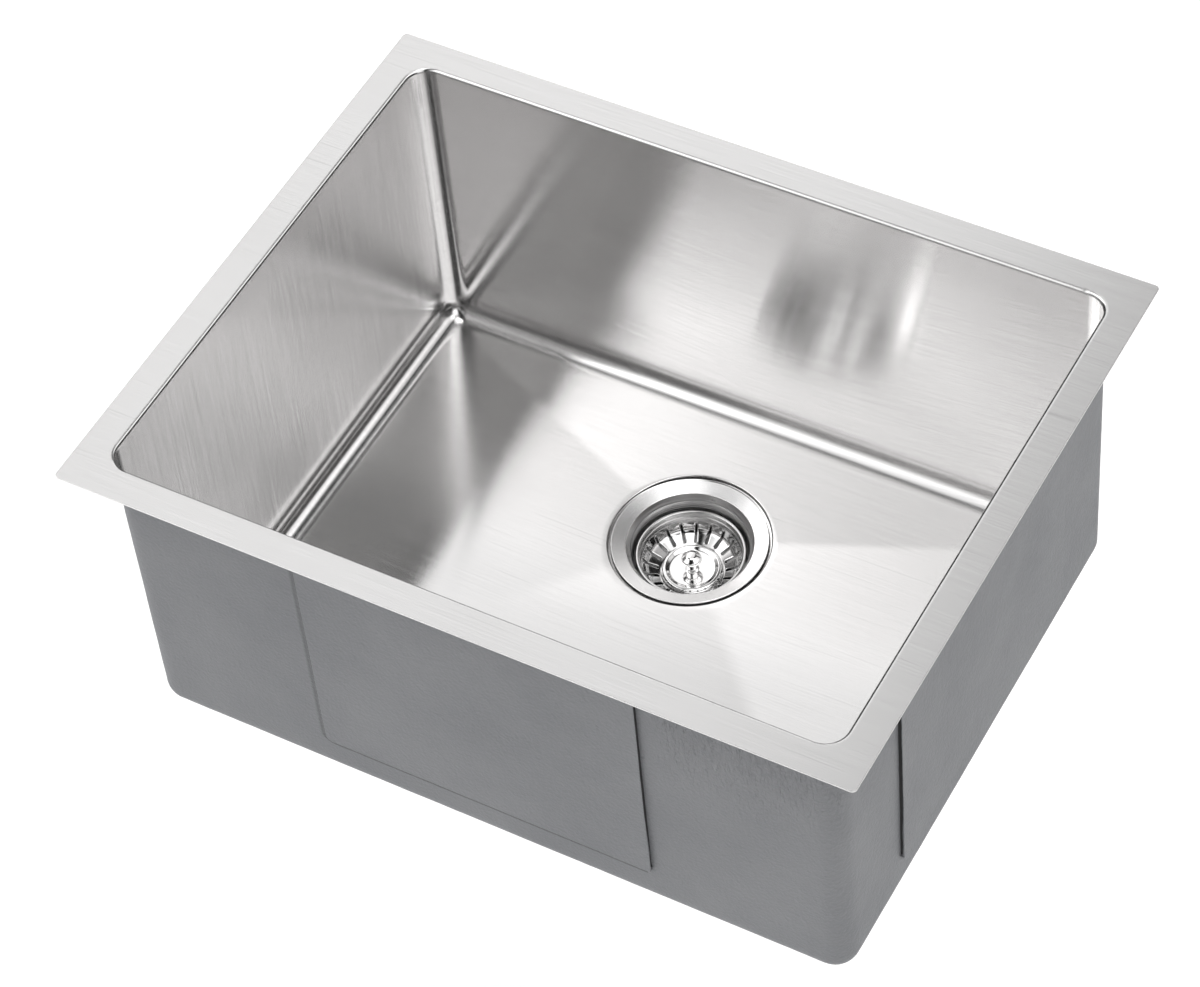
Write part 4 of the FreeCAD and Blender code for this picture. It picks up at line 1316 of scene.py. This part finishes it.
# Soft round lamps far away: direction to the lamp, strength, and radius in degrees.
LAMPS = [
    ((0.09, 0.00, 1.00), 3.49, 15.0),
    ((-0.74, -0.07, 0.67), 3.00, 15.0),
    ((0.58, 0.08, 0.81), 2.89, 15.0),
    ((-0.56, -0.43, 0.71), 1.71, 15.0),
    ((-0.27, 0.84, 0.47), 1.60, 15.0),
    ((0.69, -0.62, 0.36), 1.59, 15.0),
    ((0.60, -0.46, 0.66), 1.56, 15.0),
    ((-0.37, -0.44, 0.82), 1.50, 15.0),
    ((-0.37, -0.81, 0.46), 1.25, 15.0),
    ((-0.73, -0.34, 0.60), 1.21, 15.0),
    ((0.49, 0.72, 0.49), 1.14, 15.0),
    ((-0.60, -0.61, 0.53), 1.06, 15.0),
    ((0.67, 0.48, 0.56), 1.04, 15.0),
    ((-0.49, 0.34, 0.80), 0.89, 15.0),
    ((-0.17, -0.80, 0.57), 0.87, 15.0),
    ((-0.49, 0.53, 0.69), 0.76, 15.0),
    ((0.75, 0.21, 0.63), 0.62, 15.0),
    ((-0.09, 0.32, 0.94), 0.55, 15.0),
    ((0.58, -0.27, 0.77), 0.23, 15.0),
]
AMBIENT = 0.02
SOFT = 3.0


def wmath(op, a, b=None):
    n = w.nodes.new("ShaderNodeMath")
    n.operation = op
    for i, q in enumerate((a, b)):
        if q is None:
            continue
        if isinstance(q, (int, float)):
            n.inputs[i].default_value = q
        else:
            w.links.new(q, n.inputs[i])
    return n.outputs[0]


total = None
for d, power, size in LAMPS:
    dot = w.nodes.new("ShaderNodeVectorMath")
    dot.operation = "DOT_PRODUCT"
    w.links.new(co.outputs["Generated"], dot.inputs[0])
    dot.inputs[1].default_value = Vector(d).normalized()
    edge = w.nodes.new("ShaderNodeMapRange")
    edge.interpolation_type = "SMOOTHSTEP"
    edge.inputs["From Min"].default_value = math.cos(math.radians(size + SOFT))
    edge.inputs["From Max"].default_value = math.cos(math.radians(size - SOFT))
    w.links.new(dot.outputs["Value"], edge.inputs["Value"])
    one = wmath("MULTIPLY", edge.outputs["Result"], power)
    total = one if total is None else wmath("ADD", total, one)
total = wmath("ADD", total, AMBIENT)
bg = w.nodes.new("ShaderNodeBackground")
w.links.new(total, bg.inputs["Strength"])
bg2 = w.nodes.new("ShaderNodeBackground")
bg2.inputs[0].default_value = (1, 1, 1, 1)
lp = w.nodes.new("ShaderNodeLightPath")
mix = w.nodes.new("ShaderNodeMixShader")
w.links.new(lp.outputs["Is Camera Ray"], mix.inputs[0])
w.links.new(bg.outputs[0], mix.inputs[1])
w.links.new(bg2.outputs[0], mix.inputs[2])
wo = w.nodes.new("ShaderNodeOutputWorld")
w.links.new(mix.outputs[0], wo.inputs[0])

scene.view_settings.view_transform = "Standard"

# camera: the photograph's angle and lens
rv = np.array([2.39953950, 0.579788035, -0.304313453])
tv = np.array([7.22417611, -74.3222681, 2665.89686])
th = np.linalg.norm(rv)
k = rv / th
K = np.array([[0, -k[2], k[1]], [k[2], 0, -k[0]], [-k[1], k[0], 0]])
R = np.eye(3) + math.sin(th) * K + (1 - math.cos(th)) * K @ K
C = -R.T @ tv * MM
cam_data = bpy.data.cameras.new("photo_camera")
cam_data.sensor_fit = "HORIZONTAL"
cam_data.sensor_width = 36.0
cam_data.lens = 4043.67 / 1200 * 36.0
cam_data.clip_start, cam_data.clip_end = 0.1, 60.0
cam = bpy.data.objects.new("photo_camera", cam_data)
cam.matrix_world = Matrix([
    [R[0][0], -R[1][0], -R[2][0], C[0]],
    [R[0][1], -R[1][1], -R[2][1], C[1]],
    [R[0][2], -R[1][2], -R[2][2], C[2]],
    [0, 0, 0, 1],
])
scene.collection.objects.link(cam)
scene.camera = cam
